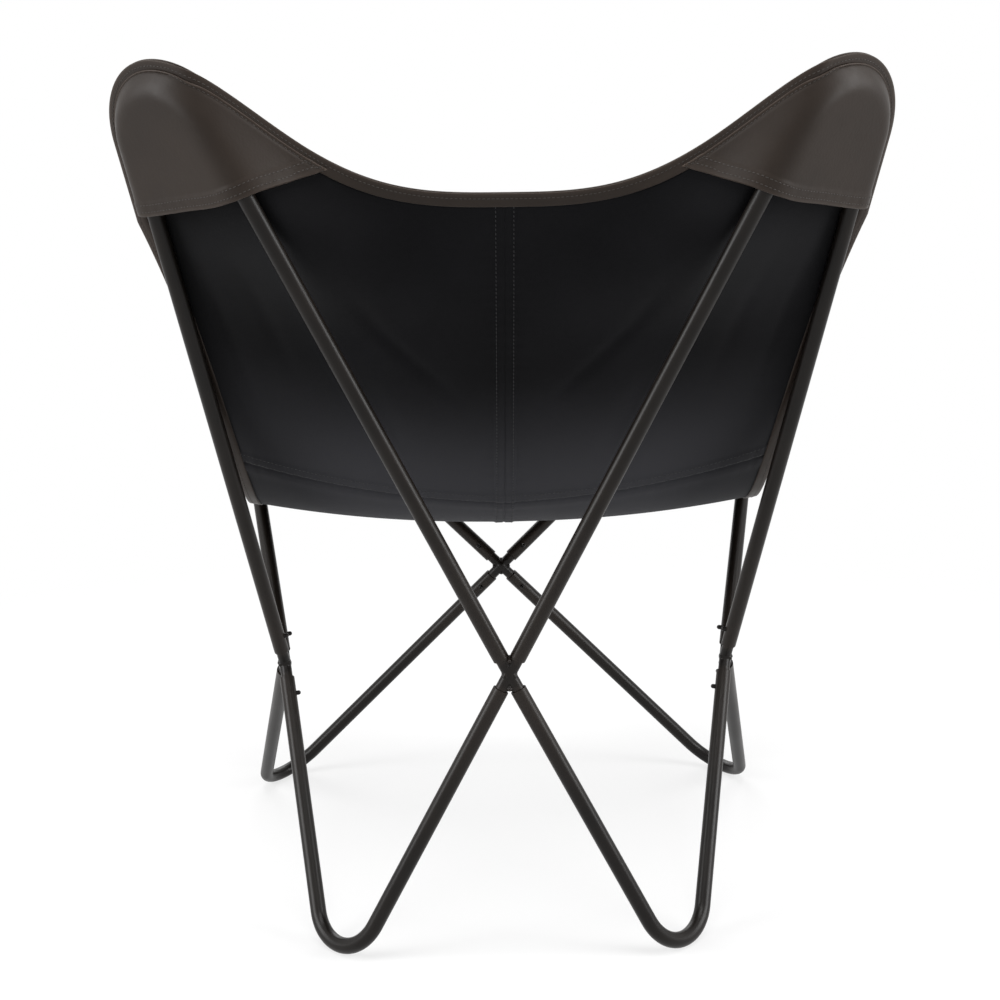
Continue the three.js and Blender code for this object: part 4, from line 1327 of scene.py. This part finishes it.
def sew(rows, cloth, field, levels):
    """Adds a row of stitches along each level of a field that the cloth reaches."""
    for level in levels:
        if field.min() < level < field.max():
            rows.extend(cloth.lines(field - level))


def puckers(along, distance, relief):
    """The little hollows that tight stitches pull along a seam."""
    return np.sin(along * 2 * np.pi / PUCKER_PITCH) * ridge(relief, distance)


def edge_rub(cloth):
    return worn(RUB_AT_EDGE, cloth["from_edge"])


def make_face(name, chosen, node):
    cloth = sling.picked(chosen)
    past = cloth["past_seam"]
    swell = ridge(FACE_SWELL, np.abs(past) - FACE_SWELL_FROM_SEAM)
    ripple = puckers(cloth["cut_across"], past, FACE_PUCKER)
    top = FACE_LAYER[1] - ridge(FACE_GROOVE, past) + swell + ripple
    keep_sheet(name, cloth, FACE_LAYER[0], top, LEATHER, edge_rub(cloth), node)
    sew(leather_rows, cloth.moved(top), past, FACE_SEAM_ROWS)


def make_lining(name, chosen, node):
    inner = sling.picked(chosen)
    cloth = inner.trimmed(inner["from_edge"] - LINING_INSET)
    past, across = cloth["past_seam"], np.abs(cloth["cut_across"])
    band = CENTRE_BAND * (1 - smooth(CENTRE_SEAM_HALF - 0.9, CENTRE_SEAM_HALF + 0.9, across))
    lap = CROSS_LAP * smooth(-CROSS_SEAM_WIDTH - 2, -CROSS_SEAM_WIDTH + 2, past) * (past <= 0)
    below = (past > 0) * (ridge(CROSS_SWELL, past - CROSS_SWELL_FROM_SEAM) - ridge(CROSS_DIP, past))
    ripple = puckers(cloth["cut_across"], past, CROSS_PUCKER)
    ripple += puckers(cloth["cut_along"], across - CENTRE_SEAM_ROW, CENTRE_PUCKER)
    grooves = ridge(CENTRE_SLIT, across) + ridge(CROSS_CREASE, past)
    back = LINING_LAYER[0] - band - lap - below - ripple + grooves
    # Painted light: the canvas is drawn paler over its belly above the cross seam, half as pale further below
    # it, and less towards the sides, where it is lit more.
    painted_light = smooth(*PAINTED_LIGHT_ABOVE_SEAM, past) * (1 - 0.5 * smooth(*PAINTED_LIGHT_BELOW_SEAM, past))
    painted_light *= 1 - 0.6 * smooth(*PAINTED_LIGHT_ACROSS, np.abs(cloth["u"]))
    low = np.minimum(back, LINING_LAYER[1] - THINNEST_CANVAS)
    keep_sheet(name, cloth, low, LINING_LAYER[1], CANVAS, painted_light, node)
    behind = cloth.moved(back, turned_over=True)
    sew(canvas_rows, behind, cloth["cut_across"], (-CENTRE_SEAM_ROW, CENTRE_SEAM_ROW))
    sew(canvas_rows, behind, past, CROSS_SEAM_ROWS)


def make_edging(name, chosen, node):
    whole = sling.picked(chosen)
    cloth = whole.trimmed(EDGING_WIDTH - whole["from_edge"])
    inner = smooth(EDGING_WIDTH - 2, EDGING_WIDTH, cloth["from_edge"])
    back = EDGING_LAYER[0] + EDGING_THINNING * inner
    wear_and_painted_light = edge_rub(cloth) + EDGING_RUB * inner
    keep_sheet(name, cloth, back, EDGING_LAYER[1], LEATHER, wear_and_painted_light, node)
    sew(leather_rows, cloth.moved(back, turned_over=True), cloth["from_edge"], EDGING_ROWS)


# A pocket's mouth as places across the sling and how far down the sling they lie
POCKETS = {
    "back": SimpleNamespace(
        carrier=back_carrier,
        across=np.array([0.49, 0.51, 0.53, 0.56, 0.60, 0.69, 0.80, 0.90, 1.0]),
        mouth=np.array([0.012, 0.026, 0.045, 0.077, 0.105, 0.150, 0.185, 0.210, 0.228]),
        columns=100,
        rows=66,
    ),
    "front": SimpleNamespace(
        carrier=front_carrier,
        across=np.array([0.64, 0.73, 0.82, 0.91, 1.0]),
        mouth=np.array([0.012, 0.057, 0.092, 0.116, 0.127]),
        columns=84,
        rows=54,
    ),
}


def drawn_taut(height, lowest, sewn):
    """The height of a skin that is pulled straight over what lies under it and kept where it is sewn."""
    for turn in range(TAUT_ROUNDS + EASING_ROUNDS):
        wide = np.pad(height, 1, mode="edge")
        straight = (wide[:-2, 1:-1] + wide[2:, 1:-1] + wide[1:-1, :-2] + wide[1:-1, 2:]) / 4
        if turn < TAUT_ROUNDS:
            straight = np.maximum(straight, lowest)
        height = np.where(sewn, height, straight)
    return height


def pocket_cloth(row, side):
    shape = POCKETS[row]
    across_shares = np.sin(np.linspace(0, 1, shape.columns) * math.pi / 2)
    down_shares = np.linspace(0, 1, shape.rows)
    a, b = (k.ravel() for k in np.meshgrid(across_shares, down_shares))
    u = mix(shape.across[0], 1.0, a)
    depth = b * curve_through(shape.across, shape.mouth[:, None], u)[:, 0]
    v = depth if row == "back" else 1 - depth
    points, from_edge, stand_off = sling_points(u, v)
    from_tube = laid_on_loops(u, v)[1][row][1]
    above = dot(points - shape.carrier.bend.centre, shape.carrier.normal)
    skin = SKIN_HIGH - SKIN_LOW + POCKET_EASE
    over_tube = np.sqrt(np.maximum(skin**2 - from_tube**2, 0)) - SKIN_LOW
    lowest = np.where(np.abs(from_tube) < skin, np.maximum(over_tube, -above), -above)
    size = shape.rows, shape.columns
    behind = drawn_taut(
        (stand_off[row] - above).reshape(size), lowest.reshape(size), (from_edge < POCKET_RISE).reshape(size)
    ).ravel()
    points = points - shape.carrier.normal * (behind + above)[:, None]
    triangles = grid_triangles(*size)
    grid = points.reshape(*size, 3)
    mouth_place, from_mouth = nearest(near_finder(grid[-1]), points)
    down = np.cumsum(np.linalg.norm(np.diff(grid, axis=0), axis=2), axis=0)
    cut_along = np.concatenate([np.zeros((1, shape.columns)), down]).ravel()
    cut_across = row_lengths(points, shape.rows, shape.columns)
    if side == "right":
        points = mirrored(points)
        triangles = triangles[:, ::-1]
    normals = point_normals(points, triangles)
    middle = shape.columns * (shape.rows // 2) + shape.columns // 2
    backwards = -shape.carrier.normal * np.array([1.0 if side == "left" else -1.0, 1.0, 1.0])
    if dot(normals[middle], backwards) < 0:
        triangles = triangles[:, ::-1]
        normals = -normals
    values = {
        "point": points,
        "normal": normals,
        "from_edge": from_edge,
        "from_mouth": from_mouth,
        "along_mouth": run_along(grid[-1])[mouth_place],
        "cut_across": cut_across,
        "cut_along": cut_along,
    }
    return Cloth(values, triangles)


def make_pocket(row, side):
    whole = pocket_cloth(row, side)
    cloth = whole.trimmed(whole["from_edge"] - POCKET_INSET)
    from_edge, from_mouth = cloth["from_edge"], cloth["from_mouth"]
    hem = HEM_TURN * (1 - smooth(HEM_WIDTH - 2, HEM_WIDTH + 2, from_mouth))
    ripple = puckers(cloth["along_mouth"], from_mouth - HEM_PUCKER_FROM_MOUTH, HEM_PUCKER)
    top = POCKET_LAYER[1] + hem - ridge(POCKET_GROOVE, from_edge - POCKET_SEAM) + ripple
    wear_and_painted_light = worn(RUB_AT_SEAM, from_edge - POCKET_INSET) + worn(RUB_AT_MOUTH, from_mouth)
    name, node = f"{row}_{side}_leather_pocket", f"{row}_{side}_pocket"
    keep_sheet(name, cloth, POCKET_LAYER[0], top, LEATHER, np.clip(wear_and_painted_light, 0, 1), node)
    outside = cloth.moved(top)
    sew(leather_rows, outside, from_mouth, HEM_ROWS)
    sew(leather_rows, outside, from_edge, [POCKET_SEAM])


make_face("sling_leather_back", on_back, "sling_face_back")
make_face("sling_leather_seat", ~on_back, "sling_face_seat")
make_lining("sling_canvas_back_left", on_back & (triangle_u > 0), "sling_lining_back_left")
make_lining("sling_canvas_back_right", on_back & (triangle_u < 0), "sling_lining_back_right")
make_lining("sling_canvas_seat", ~on_back, "sling_lining_seat")
middle_part = np.abs(triangle_u) < INNER_EDGE
make_edging("sling_top_binding", middle_part & (triangle_v < 0.3), "sling_edging_top")
make_edging("sling_front_binding", middle_part & (triangle_v > 0.7), "sling_edging_front")
make_edging("sling_left_binding", triangle_u > INNER_EDGE, "sling_edging_left")
make_edging("sling_right_binding", triangle_u < -INNER_EDGE, "sling_edging_right")
for row in ("back", "front"):
    for side in ("left", "right"):
        make_pocket(row, side)

stitch_nodes = stitch_tree()


def make_stitches(name, rows, thread):
    made = line_object(name, rows, lift=0.05)
    run_tree(made, stitch_nodes, Material=thread)
    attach(made, "chair")
    return made


leather_stitches = make_stitches("leather_stitches", leather_rows, leather_thread)
canvas_stitches = make_stitches("canvas_stitches", canvas_rows, canvas_thread)


# Studio

scene = bpy.context.scene
scene.view_settings.view_transform = "Standard"


def make_camera():
    lens = bpy.data.cameras.new("photo camera")
    lens.sensor_width = SENSOR_WIDTH
    lens.lens = FOCAL_LENGTH
    camera = object_from(lens)
    from_behind = Matrix([[-1, 0, 0], [0, 0, -1], [0, -1, 0]])
    tilt = Matrix.Rotation(CAMERA_ROLL, 3, "Z") @ Matrix.Rotation(CAMERA_PITCH, 3, "X")
    right, down, ahead = tilt @ from_behind @ Matrix.Rotation(CAMERA_YAW, 3, "Z")
    turn = Matrix([right, -down, -ahead]).transposed().to_4x4()
    camera.matrix_world = Matrix.Translation(CAMERA_PLACE) @ turn
    scene.camera = camera


def make_softbox(name, place, aim_height, size, watts):
    lamp = bpy.data.lights.new(name, "AREA")
    lamp.shape = "RECTANGLE"
    lamp.size, lamp.size_y = size
    lamp.energy = watts
    made = object_from(lamp)
    made.location = place
    way = Vector((0, 0, aim_height)) - Vector(place)
    made.rotation_euler = way.to_track_quat("-Z", "Y").to_euler()


def seen_directly(tree):
    """1 for rays that show the backdrop: straight from the camera, in gloss or through glass."""
    rays = add(tree, "ShaderNodeLightPath").outputs
    either = calculated(tree, "MAXIMUM", rays["Is Camera Ray"], rays["Is Glossy Ray"])
    return calculated(tree, "MAXIMUM", either, rays["Is Transmission Ray"])


def make_backdrop():
    world = bpy.data.worlds.new("white studio")
    scene.world = world
    world.use_nodes = True
    tree = world.node_tree
    tree.nodes.clear()
    level = add(tree, "ShaderNodeMapRange", {"Value": seen_directly(tree), "To Min": 0.25, "To Max": 1.0})
    light = add(tree, "ShaderNodeBackground", {"Color": (1, 1, 1, 1), "Strength": level.outputs["Result"]})
    add(tree, "ShaderNodeOutputWorld", {"Surface": light.outputs[0]})


def make_floor():
    material, tree, place = start_material("white studio floor")
    away = add(tree, "ShaderNodeVectorMath", {0: place}, operation="LENGTH")
    far = add(
        tree, "ShaderNodeMapRange",
        {"Value": away.outputs["Value"], "From Min": 0.6, "From Max": 1.6, "To Min": 0.72, "To Max": 1.0},
    )
    share = calculated(tree, "MULTIPLY", far.outputs["Result"], seen_directly(tree))
    paper = add(tree, "ShaderNodeBsdfDiffuse", {"Color": linear("f2f2f2")})
    glow = add(tree, "ShaderNodeEmission", {"Color": (1, 1, 1, 1), "Strength": 1.0})
    shader = add(tree, "ShaderNodeMixShader", {0: share, 1: paper.outputs[0], 2: glow.outputs[0]})
    add(tree, "ShaderNodeOutputMaterial", {"Surface": shader.outputs[0]})
    mesh = bpy.data.meshes.new("studio_floor")
    corners = [(x * FLOOR_HALF, y * FLOOR_HALF, 0) for x, y in ((-1, -1), (1, -1), (1, 1), (-1, 1))]
    mesh.from_pydata(corners, [], [[0, 1, 2, 3]])
    mesh.materials.append(material)
    object_from(mesh)


make_camera()
make_backdrop()
make_floor()
for name, softbox in SOFTBOXES.items():
    make_softbox(name, *softbox)
